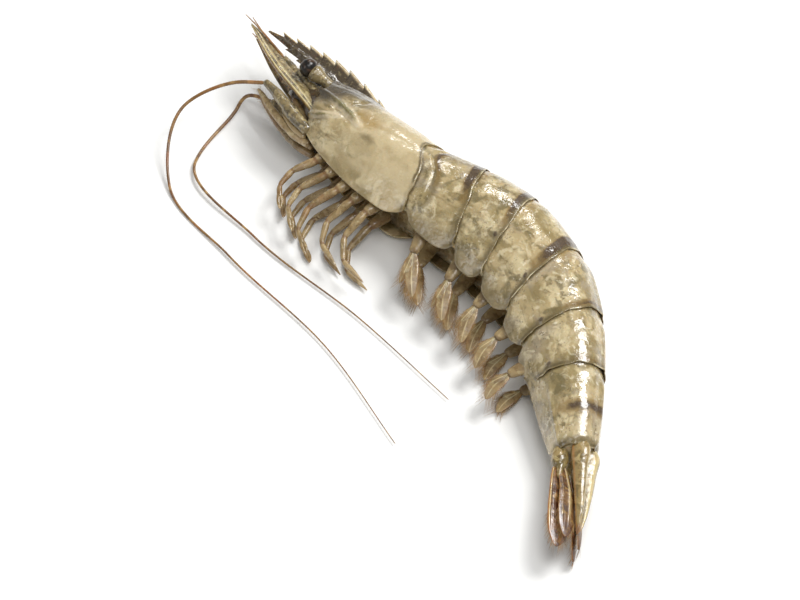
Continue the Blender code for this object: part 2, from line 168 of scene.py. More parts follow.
def show(name, data):
    """A new object of the scene."""
    made = bpy.data.objects.new(name, data)
    bpy.context.scene.collection.objects.link(made)
    return made


def write_layer(mesh, layer, values):
    """Writes numbers or vectors on a mesh's points."""
    values = np.asarray(values, np.float32)
    kind, field = ("FLOAT_VECTOR", "vector") if values.ndim == 2 else ("FLOAT", "value")
    mesh.attributes.new(layer, kind, "POINT").data.foreach_set(field, values.ravel())


class Form:
    """Points in millimetres, faces and named layers of one piece while it is made."""

    def __init__(self):
        self.points, self.faces, self.layers, self.count = [], [], {}, 0

    def add(self, points, faces, turn=True, **layers):
        """Adds one skin; a closed one is turned to face outwards."""
        points = np.asarray(points, float).reshape(-1, 3)
        volume = sum(
            np.sum(points[face[:, 0]] * np.cross(points[face[:, k - 1]], points[face[:, k]]))
            for face in faces
            for k in range(2, face.shape[1])
        )
        for face in faces:
            face = face[:, ::-1] if turn and volume < 0 else face
            self.faces += (face + self.count).tolist()
        for name in set(layers) | set(self.layers):
            before = self.layers.setdefault(name, np.zeros(self.count))
            values = np.broadcast_to(layers.get(name, 0.0), len(points)).ravel()
            self.layers[name] = np.concatenate([before, values])
        self.points.append(points)
        self.count += len(points)

    def solid(self, rings, **layers):
        """Rings of points bridged in order, closed by a fan at each end."""
        rows, columns = rings.shape[:2]
        j = np.arange(columns)
        k, top, last = (j + 1) % columns, rows * columns, (rows - 1) * columns
        middles = np.repeat([top, top + 1], columns)
        fans = np.stack([np.append(k, last + j), np.append(j, last + k), middles], 1)
        points = np.concatenate([rings.reshape(-1, 3), rings[[0, -1]].mean(axis=1)])
        full = {}
        for name, values in layers.items():
            values = np.broadcast_to(values, (rows, columns))
            full[name] = np.concatenate([values.ravel(), [values[0].mean(), values[-1].mean()]])
        self.add(points, [lattice(rows, columns, True), fans], **full)

    def sheet(self, points, **layers):
        """An open sheet of points in rows, its outside up when the columns run from right to left."""
        rows, columns = points.shape[:2]
        full = {name: np.broadcast_to(values, (rows, columns)).ravel() for name, values in layers.items()}
        self.add(points, [lattice(rows, columns, False)], turn=False, **full)

    def finish(self, name, material):
        """One smooth object at the origin."""
        mesh = bpy.data.meshes.new(name)
        mesh.from_pydata((np.concatenate(self.points) * MM).tolist(), [], self.faces)
        for layer, values in self.layers.items():
            write_layer(mesh, layer, values)
        mesh.shade_smooth()
        mesh.materials.append(material)
        return show(name, mesh)


def lattice(rows, columns, wrap):
    """Quads between rows of points numbered row by row."""
    i = np.arange(rows - 1)[:, None] * columns
    j = np.arange(columns if wrap else columns - 1)
    k = (j + 1) % columns
    return np.stack([i + j, i + k, i + columns + k, i + columns + j], axis=-1).reshape(-1, 4)


def settle(piece, slot, *nodes):
    """The piece moves with the body and stands for some nodes, whose solids are hidden. The slot is not used.
    """
    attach(piece, "root")
    if nodes:
        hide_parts(*nodes)
    return piece


# ---- materials

COLOUR_DETAIL, FINE_DETAIL = 4.0, 3.0


def tint(code):
    """Linear colour of an sRGB hex code."""
    parts = [int(code[i : i + 2], 16) / 255 for i in (1, 3, 5)]
    return (*(c / 12.92 if c <= 0.04045 else ((c + 0.055) / 1.055) ** 2.4 for c in parts), 1.0)


def plug(tree, node, sockets):
    """Sets a node's inputs to values or links outputs to them; a list of outputs joins one input in turn."""
    for key, value in sockets.items():
        for one in value if isinstance(value, list) else [value]:
            if isinstance(one, bpy.types.NodeSocket):
                tree.links.new(one, node.inputs[key])
            else:
                node.inputs[key].default_value = one


def add(tree, kind, sockets=None, take=0, **settings):
    """Adds one node with its settings and inputs; returns one of its outputs, or the node if it has none."""
    made = tree.nodes.new(kind)
    for key, value in settings.items():
        setattr(made, key, value)
    plug(tree, made, sockets or {})
    return made.outputs[take] if made.outputs else made


def maths(tree, operation, *values):
    """A sum on values or outputs."""
    return add(tree, "ShaderNodeMath", dict(enumerate(values)), operation=operation)


def cloud(tree, spot, size, take=0, **sockets):
    """Soft noise with patches of about a size in mm."""
    return add(tree, "ShaderNodeTexNoise", {"Vector": spot, "Scale": 1 / (size * MM), **sockets}, take)


def measure(tree, spot, term):
    """How much of something there is, 0 to 1, over the surface.

    A term is (source, low, high), and after a layer's name also how wide in mm its edge strays and how far.
    A source is a layer's name, a cloud size in mm, ("dots", size) or ("streaks", length, width).
    """
    source, low, high, *stray = term
    if isinstance(source, str):
        value = add(tree, "ShaderNodeAttribute", take="Fac", attribute_name=source)
    elif isinstance(source, (int, float)):
        value = cloud(tree, spot, source, Detail=COLOUR_DETAIL, Distortion=0.6)
    elif source[0] == "dots":
        size = source[1]
        way = {0: cloud(tree, spot, size / 1.4, take=1), 1: (0.6 * size * MM,) * 3, 2: spot}
        way = add(tree, "ShaderNodeVectorMath", way, operation="MULTIPLY_ADD")
        value = add(tree, "ShaderNodeTexVoronoi", {"Vector": way, "Scale": 1 / (size * MM)})
    else:
        way = {}
        for k, name in enumerate(("along", "around")):
            walk = add(tree, "ShaderNodeAttribute", take="Fac", attribute_name=name)
            way[k] = maths(tree, "DIVIDE", walk, source[1 + k])
        way = add(tree, "ShaderNodeCombineXYZ", way)
        value = add(tree, "ShaderNodeTexNoise", {"Vector": way, "Scale": 1.0, "Distortion": 0.5})
    if stray:
        size, far = stray
        value = maths(tree, "MULTIPLY_ADD", cloud(tree, spot, size, Detail=COLOUR_DETAIL), far, value)
        low, high = low + far / 2, high + far / 2
    sockets = {0: value, 1: low, 2: high, 3: 0.0, 4: 1.0}
    return add(tree, "ShaderNodeMapRange", sockets, interpolation_type="SMOOTHSTEP")


def make_material(name, base, coats, bumps, roughness, soak=(0, 1, 1, 1), film=(0, 0), ior=1.5):
    """A painted surface: coats are (colour, strength, *terms) laid in order, bumps are (size, height) in mm.

    Roughness is (least, most, size of its clouds in mm), soak is how light goes in (weight, how far green and
    blue go beside red, depth in mm) and film is the wet layer on top (weight, roughness).
    """
    material = bpy.data.materials.new(name)
    material.use_nodes = True
    tree = material.node_tree
    spot = add(tree, "ShaderNodeTexCoord", take="Object")
    colour = tint(base)
    for coat, amount, *terms in coats:
        for term in terms:
            amount = maths(tree, "MULTIPLY", measure(tree, spot, term), amount)
        colour = add(tree, "ShaderNodeMix", {0: amount, 6: colour, 7: tint(coat)}, take=2, data_type="RGBA")
    relief = 0.0
    for size, height in bumps:
        relief = maths(tree, "MULTIPLY_ADD", cloud(tree, spot, size, Detail=FINE_DETAIL), height, relief)
    normal = add(tree, "ShaderNodeBump", {"Distance": MM, "Height": relief})
    least, most, size = roughness
    patches = {0: cloud(tree, spot, size, Detail=FINE_DETAIL), 1: 0.35, 2: 0.65, 3: least, 4: most}
    weight, green, blue, deep = soak
    sockets = {
        "Base Color": colour, "Normal": normal, "Coat Normal": normal, "IOR": ior,
        "Roughness": add(tree, "ShaderNodeMapRange", patches),
        "Subsurface Weight": weight, "Subsurface Radius": (1.0, green, blue), "Subsurface Scale": deep * MM,
        "Coat Weight": film[0], "Coat Roughness": film[1],
    }
    plug(tree, tree.nodes["Principled BSDF"], sockets)
    return material


# Wet chitin cuticle, grown as thin plates over flesh: milky depth, brown pigment spots, hard wet glints.
SHELL = make_material(
    "wet_chitin_shell", "#ae9b72",
    (
        ("#8b7b50", 0.8, (13, 0.44, 0.6)),
        ("#c9b992", 0.85, (8, 0.48, 0.62)),
        ("#86754c", 0.8, (("streaks", 9, 2.2), 0.48, 0.64), ("busy", 0.1, 0.9)),
        ("#6a5f3c", 0.8, (5.5, 0.53, 0.64), ("busy", 0.0, 1.0)),
        # Pale cream coats: the paler tone of the carapace's rear and of the last plate's rear, and a painted
        # highlight, a row of glints along the rostrum's toothed crest.
        ("#bcab86", 0.9, ("waxy", 0.2, 0.9, 9, 0.6)),
        ("#a29068", 0.6, ("waxy", 0.3, 0.9), (7, 0.5, 0.66)),
        ("#8d8358", 0.6, ("waxy", 0.3, 0.9), (3.4, 0.57, 0.68), (12, 0.45, 0.6)),
        ("#9c8049", 0.7, ("ochre", 0.2, 0.9, 5, 0.8)),
        ("#9c8f7a", 0.6, (10, 0.52, 0.66), ("busy", 0.1, 0.9)),
        ("#d4c7a6", 0.6, (3.0, 0.54, 0.67), ("busy", 0.1, 1.0)),
        ("#675839", 0.6, (1.7, 0.54, 0.68), (8, 0.44, 0.6), ("busy", 0.0, 1.0)),
        ("#4d3d26", 0.5, (("dots", 1.0), 0.34, 0.16), (6, 0.46, 0.62), ("busy", 0.0, 0.7)),
        ("#e6dcc4", 0.55, (1.3, 0.6, 0.68), (6, 0.46, 0.58), ("busy", 0.0, 0.7)),
        # Painted highlight: a pale cream line along both borders of the carapace's green ridge lines.
        ("#d3c3a4", 0.6, ("ridge", 0.01, 0.12, 3, 0.15), ("busy", 0.0, 0.5)),
        ("#666131", 0.85, ("ridge", 0.3, 0.8, 1.6, 0.8)),
        ("#5f5339", 0.8, ("gloom", 0.0, 0.7, 7, 0.9)),
        ("#3b3224", 0.8, ("gloom", 0.3, 1.0, 3, 0.9)),
        ("#6b5d3b", 0.75, ("haze", 0.2, 0.9, 3, 0.8)),
        ("#7d6434", 0.7, ("band", 0.0, 0.4, 3, 0.5)),
        ("#42311f", 0.9, ("band", 0.35, 0.8, 1.6, 0.6)),
        ("#3a2a1c", 0.8, ("spot", 0.4, 0.9, 0.8, 0.4)),
        # Painted shade: a dark line along each plate's shown front, where the lip of the plate before it
        # overlaps.
        ("#54462a", 0.8, ("front", 0.9, 0.1, 2, 0.8), (8, 0.36, 0.54)),
        ("#574a2b", 0.85, ("rear", 1.6, 0.8, 2.0, 0.9), ("rear", 0.2, 0.5), (11, 0.38, 0.56)),
        ("#75663f", 0.7, ("rear", 0.5, 0.15)),
        # A pale line in patches at each plate's rear edge: partly the thick edge's own paler tone, partly a
        # painted highlight on the edge.
        ("#d2c5a4", 0.7, ("rear", 0.5, 0.1), (6.0, 0.54, 0.62)),
        ("#403422", 0.95, ("dark", 0.2, 0.8, 2.5, 0.5)),
        ("#8a7d5c", 0.6, ("dark", 0.5, 0.9), (1.3, 0.58, 0.68)),
    ),
    ((6.0, 0.45), (1.8, 0.14), (0.6, 0.045)), (0.1, 0.38, 4),
    soak=(0.28, 0.65, 0.38, 1.8), film=(0.75, 0.06),
)
# Horny blade with a tough rib, dried to orange-brown between pale ribs.
FAN = make_material(
    "tail_blade_chitin", "#70502c",
    (
        ("#432a1a", 0.85, (4, 0.45, 0.58)),
        ("#a5854f", 0.7, (2.0, 0.54, 0.66)),
        ("#c2ad7c", 0.8, ("rib", 0.3, 0.8, 2, 0.4)),
        ("#4a2419", 0.8, ("tip", 0.4, 1.0, 3, 0.6)),
        ("#a8702f", 0.75, ("rim", 0.5, 0.95, 2, 0.3)),
        ("#33241a", 0.6, (("dots", 0.9), 0.3, 0.18), (4, 0.46, 0.6)),
    ),
    ((2.5, 0.2), (0.6, 0.06)), (0.15, 0.4, 3),
    soak=(0.3, 0.45, 0.2, 1.6), film=(0.6, 0.08),
)
# Tail knobs and telson: khaki cuticle, pale where it is thick.
FAN_PALE = make_material(
    "tail_knob_chitin", "#937e50",
    (
        ("#655630", 0.85, (4, 0.44, 0.6)),
        ("#bda977", 0.7, (2.4, 0.54, 0.66)),
        ("#54391f", 0.6, (1.0, 0.58, 0.68)),
        ("#d6c592", 0.75, ("rib", 0.3, 0.8, 2, 0.3)),
        ("#7a4a22", 0.7, ("tip", 0.2, 0.6, 2, 0.3)),
        ("#b57c3c", 0.7, ("rim", 0.4, 0.9, 2, 0.3)),
    ),
    ((2.0, 0.2), (0.6, 0.06)), (0.14, 0.36, 3),
    soak=(0.3, 0.6, 0.3, 1.8), film=(0.7, 0.07),
)
# Thin head plates: the same cuticle, greyer, with cream ribs and dark tissue showing through.
HEAD = make_material(
    "head_plate_chitin", "#83734e",
    (
        ("#4c432d", 0.85, (4, 0.43, 0.58)),
        ("#b5a57a", 0.75, (2.0, 0.53, 0.64)),
        ("#33291b", 0.7, (1.0, 0.56, 0.66)),
        ("#cfc193", 0.8, ("rib", 0.3, 0.8, 2, 0.4)),
        ("#96702f", 0.6, ("rim", 0.5, 0.95, 3, 0.5)),
        ("#2a2118", 0.7, (("dots", 0.8), 0.3, 0.18), (4, 0.44, 0.6)),
        ("#3a3024", 0.85, ("gloom", 0.3, 0.9, 3, 0.5)),
    ),
    ((2.0, 0.25), (0.6, 0.08)), (0.14, 0.36, 3),
    soak=(0.25, 0.6, 0.3, 1.8), film=(0.7, 0.07),
)
# Leg skin: thin flexible cuticle, straw-coloured with brown joints.
LIMB = make_material(
    "leg_skin", "#a08a62",
    (
        ("#75603a", 0.8, (5, 0.44, 0.6)),
        ("#c6b68e", 0.6, (1.8, 0.55, 0.66)),
        ("#553d24", 0.6, (0.9, 0.58, 0.68)),
        ("#6c4a28", 0.7, ("joint", 0.3, 0.9, 2, 0.5)),
        ("#7d5730", 0.5, (7, 0.5, 0.64)),
    ),
    ((1.5, 0.15), (0.5, 0.05)), (0.18, 0.4, 3),
    soak=(0.2, 0.65, 0.4, 1.4), film=(0.5, 0.1), ior=1.45,
)
# Swimming-leg leaves: thin clear skin on a midrib, tan with brown edges and fine cross-lines.
LEAF = make_material(
    "swimming_leaf_skin", "#95805a",
    (
        ("#6d5737", 0.7, (4, 0.44, 0.6)),
        ("#b7a57c", 0.6, (1.8, 0.55, 0.66)),
        ("#5d4427", 0.7, ("joint", 0.3, 0.9, 1, 0.4)),
        ("#6f4a2a", 0.7, ("rim", 0.3, 0.9, 1, 0.4)),
        ("#c6b78f", 0.7, ("rib", 0.4, 0.9, 1, 0.4)),
    ),
    ((1.5, 0.12), (0.5, 0.05)), (0.22, 0.5, 2),
    soak=(0.3, 0.65, 0.4, 1.0), film=(0.3, 0.12), ior=1.45,
)
# Feelers: solid horn in short rings, brown and half dry.
HORN = make_material(
    "feeler_horn", "#84602f",
    (
        ("#5d3d1f", 0.8, (7, 0.44, 0.6)),
        ("#b08c52", 0.7, (4, 0.52, 0.66)),
        ("#8c4f28", 0.5, (10, 0.52, 0.64)),
    ),
    ((0.8, 0.06),), (0.2, 0.45, 4),
    soak=(0.12, 0.7, 0.4, 0.6), film=(0.3, 0.15),
)
# Bristles: single chitin hairs, tan and a little clear.
HAIR = make_material(
    "bristle_chitin", "#9c7c4e", (("#6e5030", 0.7, (3, 0.45, 0.6)),), ((0.5, 0.02),), (0.3, 0.5, 3),
    soak=(0.2, 0.5, 0.3, 0.4),
)
# Soft skin of the belly and the face: wet membrane over pale flesh, with brown folds and pale stiff bars.
FLESH = make_material(
    "belly_membrane", "#a8946e",
    (
        ("#7f6c4a", 0.8, (5, 0.44, 0.6)),
        ("#c9b994", 0.6, (2.5, 0.55, 0.66)),
        ("#5e4c36", 0.7, (1.6, 0.53, 0.66), (7, 0.42, 0.6)),
        ("#c2ae82", 0.75, ("rib", 0.35, 0.8, 2, 0.4)),
        ("#7a5f3a", 0.7, ("rib", 0.1, 0.4, 2, 0.3), ("rib", 0.6, 0.4)),
        ("#3c2f22", 0.9, ("gloom", 0.2, 0.9, 5, 0.6)),
    ),
    ((3.0, 0.4), (0.9, 0.12)), (0.15, 0.35, 4),
    soak=(0.5, 0.55, 0.35, 2.5), film=(0.6, 0.08), ior=1.4,
)
# Eye: glassy cornea of tiny facets over black pigment.
CORNEA = make_material(
    "eye_cornea", "#0e0b09", (("#4a3524", 0.8, (2.4, 0.48, 0.64)),), ((0.35, 0.03),), (0.2, 0.45, 1.5),
    film=(0.25, 0.1), ior=1.4,
)

# ---- shell plates

PLATE_ROWS, PLATE_COLUMNS = 60, 141
# For each plate, its dark band at the rear: (strength, width in mm, how far down the flank in turn).
BANDS = (
    (0.0, 1.0, 0.2), (1.1, 3.4, 0.4), (1.05, 2.8, 0.36), (1.15, 3.8, 0.36), (0.7, 2.0, 0.3),
    (0.5, 1.4, 0.3), (0.0, 1.0, 0.2),
)
# A second dark band: (strength, way from the shown front, width in mm, turns where it ends and is full).
SECOND_BANDS = {1: (0.75, 6.3, 1.1, 0.62, 0.3), 6: (0.8, 13.5, 2.0, 0.7, 0.28)}
# Heights of the carapace's side ridge, of the ridge low behind the face and of the groove over the gills.
SIDE_RIDGE = ((-2, 4.4), (6, 4.2), (14, 3.4), (22, 1.6))
LOW_RIDGE = ((-1, -5.0), (6, -3.6), (12, -1.0), (16, 0.6))
GILL_GROOVE = ((12, -1.0), (24, 3.6), (36, 5.6), (46, 6.4))
OPEN = 20  # added to the way from the carapace's front edge, which no plate covers


def plate_spots(number, behind, turn):
    """Body places over a plate; behind is -1 at its hidden front, 0 at its shown front and 1 at its rear.

    It returns station, left, up and the ways in mm from the shown front and to the rear.
    """
    lobe = (0.05 + 0.24 * np.abs(2 * np.clip(behind, 0, 1) - 1) ** 3) if 0 < number < 6 else 0.0
    if number == 0:
        lobe = 0.24 * np.clip((behind - 0.72) / 0.28, 0, 1) ** 2.5
    stray = 0.16 * np.sin(turn * 23 + number * 2.1) + 0.1 * np.sin(turn * 41 + number)
    station = np.full(np.broadcast(behind, turn).shape, HINGES[number] - 5.0)
    for _ in range(5):
        left, up = flank(station, turn, lobe)
        rear = HINGES[number] + edge(number, up) + stray
        front = HINGES[number - 1] + edge(number - 1, up) if number else head_edge(up)
        station = front + np.where(behind < 0, behind * TUCK, behind * (rear - front))
    return station, left, up, station - front, rear - station


def carapace_relief(station, left, up):
    """Height in mm of the ridges and grooves on the carapace, and how near its two side ridges are."""
    off = np.abs(left)
    high = up > 0
    relief = 0.9 * bump(off / 0.8) * fade(station, 36, 22) * high
    along = fade(station, 21, 14) * high
    relief += along * (0.5 * bump((off - 3.3) / 0.6) - 0.7 * bump((off - 2.1) / 0.7))
    ridge_up = curve(SIDE_RIDGE, station)
    ridge = fade(station, 25, 15)
    relief += ridge * (0.7 * bump((up - ridge_up) / 0.6) - 0.6 * bump((up - ridge_up + 1.7) / 0.8))
    neck = 15 - (7 - up) * 0.55 - 0.05 * (7 - up) ** 2 - station
    relief -= 0.5 * bump(neck / 0.8) * fade(up, -3, 0) * fade(up, 12, 9)
    low = up - curve(LOW_RIDGE, station)
    relief += fade(station, 14, 9) * (0.45 * bump(low / 0.7) - 0.4 * bump((low + 1.5) / 0.8))
    gill = up - curve(GILL_GROOVE, station)
    relief -= 0.28 * bump(gill / 0.8) * fade(station, 10, 16) * fade(station, 44, 36)
    second = 0.75 * fade(station, 17, 9) * bump((low - 0.1) / 0.8)
    return relief, np.maximum(ridge * bump((up - ridge_up - 0.1) / 1.0), second)


def plate_marks(number, station, left, up, behind, ahead, turn):
    """The layers of a plate that say where its colours lie."""
    off = np.abs(turn) + 0 * up
    strength, width, reach = BANDS[number]
    band = strength * fade(ahead, 0.5, 1.1) * fade(ahead, width + 1.0, width - 0.6)
    band = band * fade(off, reach + 0.22, reach - 0.12)
    haze = 0.85 * fade(ahead, 4.2, 0.9) * fade(off, 0.95, 0.7) * (number > 0) + 0.7 * fade(up, -6, -13)
    ochre = 0.8 * fade(behind, 5.5, 1.5) * fade(off, 0.5, 0.2) * (number in (2, 3, 4))
    marks = {**dict.fromkeys(("waxy", "gloom", "dark", "spot"), 0 * up), "busy": 1.0 + 0 * up}
    if number == 0:
        marks["busy"] = fade(station, 32, 8) * 0.85 + 0.14
        marks["waxy"] = fade(station, 12, 28) * fade(up, -13, -6)
        marks["gloom"] = 0.95 * bump((station - 3) / 9) * fade(up, -1, 8) + 0.7 * bump((station - 1) / 5)
        marks["gloom"] += 0.8 * bump((station - 8) / 14) * fade(up, 6, 13)
        marks["dark"] = bump((np.abs(left) - 1.6) / 1.3) * fade(station, 34, 10) * (up > 0)
        ochre = 0.95 * bump((station - 23) / 6) * bump((up - 4.5) / 3.4)
        haze = 0.6 * bump((up + 3) / 2.5) * bump((station - 8) / 6) + 0.5 * fade(ahead, 2.2, 0.8)
        haze += 0.75 * bump((station - 27) / 4) * bump((up + 0.5) / 1.8)
    if number in SECOND_BANDS:
        strength, at, width, out, full = SECOND_BANDS[number]
        band = np.maximum(band, strength * bump((behind - at) / width) * fade(off, out, full))
        if number == 1:
            haze = np.maximum(haze, 0.8 * bump((behind - at) / 1.6) * fade(off, 0.9, 0.6))
    if number == 6:
        marks["waxy"] = 0.8 * fade(ahead, 8, 3) * fade(ahead, 0.5, 1.5)
    if number in (2, 3, 4, 5):
        marks["spot"] = bump((ahead - 1.7) / 1.1) * bump((up + 1.5) / 1.2)
    return {"band": band, "haze": haze, "ochre": ochre, **marks}


def make_plate(number):
    """One plate: its outside with its ridges and marks, made into a thin lipped shell by the plate tree."""
    hidden = np.linspace(-1, 0, 7)[:-1] if number else []
    rows = np.concatenate([hidden, np.linspace(0, 1, PLATE_ROWS + 24 * (number == 0))])[:, None]
    turn = np.linspace(-1, 1, PLATE_COLUMNS + 40 * (number == 0))[None]
    station, left, up, behind, ahead = plate_spots(number, rows, turn)
    marks = plate_marks(number, station, left, up, behind, ahead, turn)
    relief, ridge = 0.4 * marks["spot"], np.zeros_like(up)
    if number == 0:
        relief, ridge = carapace_relief(station, left, up)
    if number == 1:
        relief = relief - 0.45 * bump((behind - 4.6) / 0.6) * fade(up, -8, 0)
    if number >= 4:
        relief = relief + (0.6 + 0.3 * (number == 6)) * bump(left / 0.9) * (up > 0) * fade(behind, 1, 6)
    if number == 6:
        relief = relief - 0.9 * fade(ahead, 2.2, 0)
        sides = bump((turn - 0.62) / 0.04) + bump((turn + 0.62) / 0.04)
        relief = relief + 0.35 * sides * fade(behind, 2, 6)
    relief = relief - 0.1 * (1 + np.sin(turn * 9 + number * 2.3)) * fade(ahead, 2.6, 0.4)
    form = Form()
    girth = curve(HALF_WIDTH, station) + curve(TOP, station)
    form.sheet(
        place(station, left, up), rear=ahead, front=behind + (0 if number else OPEN), ridge=ridge,
        relief=relief, wall=1 - 0.7 * fade(ahead, 0.6, 0), along=station, around=turn * girth, **marks,
    )
    if number == 0:
        add_rostrum(form)
    name = f"abdomen_plate_{number}" if number else "carapace"
    settle(grow(form.finish(name + "_shell", SHELL), PLATE_TREE, PLATE_SIZES), "shell", name)


# ---- rostrum

CREST = ((-31, 11.3), (-22, 13.4), (-10, 15.6), (-2, 16.4), (6, 16.0), (14, 14.8), (24, 12.6))
KEEL = ((-31, 10.6), (-22, 10.4), (-10, 9.0), (0, 7.6), (22, 9.0))
BACK_TEETH = (-25.5, -20.5, -15.5, -10.5, -5.5, 0.5, 7.5, 15.0)
KEEL_TEETH = (-21.0, -15.5, -10.0)
ROSTRUM, ROSTRUM_END, TOOTH_LENGTH, TOOTH_HEIGHT = 31.0, 24.0, 4.6, 1.05
BLADE_HALF, BLADE_TAPER = 1.15, 13  # half thickness, and how far back it takes to reach that
BLADE_RIB = 0.36  # share of the height at which the side rib runs
# Cross-section of the blade: (share of the height, share of the half thickness).
BLADE_SECTION = (
    (0, 0.12), (0.06, 0.22), (0.2, 0.5), (0.3, 0.95), (0.36, 1.0), (0.43, 0.8), (0.5, 0.42),
    (0.6, 0.36), (0.8, 0.32), (0.94, 0.2), (1, 0.1),
)


def saw(station, teeth):
    """Height of a row of teeth, 0 to 1, each sharp in front and sloping away behind."""
    behind = [station - tooth for tooth in teeth]
    return np.max([fade(way, -0.35, 0) * np.clip(1 - way / TOOTH_LENGTH, 0, 1) for way in behind], axis=0)


def add_rostrum(form):
    """The toothed blade: a lean row of rings from its tip back into the carapace."""
    teeth = np.array(BACK_TEETH + KEEL_TEETH)
    even = np.arange(-ROSTRUM, ROSTRUM_END, 0.4)
    stations = np.concatenate([even, *(teeth + step for step in (-0.34, -0.2, -0.1, 0.0))])
    stations = np.unique(np.round(stations, 2))[:, None]
    height, thick = np.array(BLADE_SECTION).T
    height, thick = np.append(height, height[::-1]), np.append(thick, -thick[::-1])
    back, under = saw(stations, BACK_TEETH), saw(stations, KEEL_TEETH)
    high = curve(CREST, stations) + TOOTH_HEIGHT * back
    low = curve(KEEL, stations) - 0.7 * TOOTH_HEIGHT * under
    half = BLADE_HALF * np.clip((stations + ROSTRUM + 1.0) / BLADE_TAPER, 0.12, 1) * np.ones_like(height)
    lean = -1.9 * back**1.5 * fade(height, 0.75, 1) - 1.3 * under * fade(height, 0.25, 0)
    up = low + (high - low) * height
    along = stations + 0 * height
    half = half * (1 + 0.16 * np.sin(along * 1.7 + height * 9) * np.sin(height * 14 + along * 0.6))
    # The crest is painted pale as a row of highlight glints along the teeth, and kept free of the dark
    # colour.
    crest, rib = fade(height, 0.84, 0.97), bump((height - BLADE_RIB) / 0.08)
    form.solid(
        place(stations + lean, thick * half, up),
        rear=9.0, front=9.0, busy=0.6, waxy=0.8 * crest + 0 * along,
        dark=(1.1 - 0.6 * rib) * (1 - 0.9 * crest) * fade(along, 26, 10),
        ridge=0.9 * rib * fade(along, 10, 0), gloom=0.7 * (1 - crest) + 0 * along,
        ochre=0.6 * fade(along, -16, -28), along=along, around=up,
    )


# ---- shells, limbs and bristles grown by Geometry Nodes

MERGE = 0.002
BRISTLE_SIDES, BRISTLE_TIP = 4, 0.12
PLATE_SIZES = {
    "Lip": LIP_RISE, "Lip Width": 3.2, "Sink": SUNK, "Sink Width": 3.6,
    "Dent": 0.28, "Dent Size": 5.5 * MM, "Wall": SHELL_THICK, "Skin": SHELL,
}

def unit(steps):
    """Steps of length 1 that go the same ways."""
    return steps / np.linalg.norm(steps, axis=1)[:, None]


def bristle_row(points, lean, reach):
    """A wire of bristle roots; bristles near the floor are turned up enough to stay above it."""
    lean = unit(lean)
    lean[:, 2] = np.maximum(lean[:, 2], 0.25 - 0.8 * points[:, 2] / reach)
    return {"points": points, "lean": lean, "reach": reach * MM}


def directions(path):
    """The unit step along a path at each of its points."""
    return unit(np.gradient(path, axis=0))


def edge_bristles(within, here, spread, reach):
    """A row of bristles just inside an edge: they lean outwards by the spread and on along the edge."""
    return bristle_row(within + (here - within) * 0.9, unit(here - within) * spread + directions(here), reach)


def path_object(name, wires):
    """Loose wires in millimetres, each a dict of points and layers, as one object."""
    ends = np.cumsum([len(wire["points"]) for wire in wires])
    steps = np.setdiff1d(np.arange(ends[-1]), ends - 1)
    points = np.concatenate([wire["points"] for wire in wires]) * MM
    mesh = bpy.data.meshes.new(name)
    mesh.from_pydata(points.tolist(), np.stack([steps, steps + 1], 1).tolist(), [])
    for layer in sorted(set(wires[0]) - {"points"}):
        write_layer(mesh, layer, np.concatenate([wire[layer] for wire in wires]))
    return show(name, mesh)


def new_tree(name, numbers, whole=()):
    """A geometry tree with named inputs for numbers, whole numbers and its skin, and what it is given."""
    tree = bpy.data.node_groups.new(name, "GeometryNodeTree")
    for way in ("INPUT", "OUTPUT"):
        tree.interface.new_socket("Geometry", in_out=way, socket_type="NodeSocketGeometry")
    kinds = {**dict.fromkeys(numbers, "Float"), **dict.fromkeys(whole, "Int"), "Skin": "Material"}
    for label, kind in kinds.items():
        tree.interface.new_socket(label, in_out="INPUT", socket_type="NodeSocket" + kind)
    return tree, add(tree, "NodeGroupInput").node.outputs


def end_tree(tree, given, shape):
    """Ends a tree: its copies are made real and it takes its skin."""
    shape = add(tree, "GeometryNodeRealizeInstances", {0: shape})
    shape = add(tree, "GeometryNodeSetMaterial", {0: shape, "Material": given["Skin"]})
    add(tree, "NodeGroupOutput", {0: shape})
    return tree


def layer(tree, name, kind="FLOAT"):
    """Reads what is written on the points."""
    return add(tree, "GeometryNodeInputNamedAttribute", {"Name": name}, data_type=kind)


def vectors(tree, operation, sockets):
    """A sum on vectors."""
    return add(tree, "ShaderNodeVectorMath", sockets, operation=operation)


def stepped(tree, given, step):
    """The curve along each wire, cut into even steps."""
    wire = add(tree, "GeometryNodeMeshToCurve", {0: given["Geometry"]})
    return add(tree, "GeometryNodeResampleCurve", {0: wire, "Length": given[step]}, mode="LENGTH")


def limb_tree():
    """Sweeps an oval skin along each wire: its size is the wire's girth, ringed at every step."""
    tree, given = new_tree("limb_skin", ("Step", "Ringing", "Flatness"), ("Sides",))
    odd = maths(tree, "MODULO", add(tree, "GeometryNodeInputIndex"), 2.0)
    ring = maths(tree, "MULTIPLY_ADD", odd, given["Ringing"], 1.0)
    circle = add(tree, "GeometryNodeCurvePrimitiveCircle", {"Resolution": given["Sides"], "Radius": 1.0})
    oval = add(tree, "ShaderNodeCombineXYZ", {0: 1.0, 1: given["Flatness"], 2: 1.0})
    oval = add(tree, "GeometryNodeTransform", {0: circle, "Scale": oval})
    size = maths(tree, "MULTIPLY", layer(tree, "girth"), ring)
    skin = {0: stepped(tree, given, "Step"), 1: oval, "Scale": size, "Fill Caps": True}
    return end_tree(tree, given, add(tree, "GeometryNodeCurveToMesh", skin))


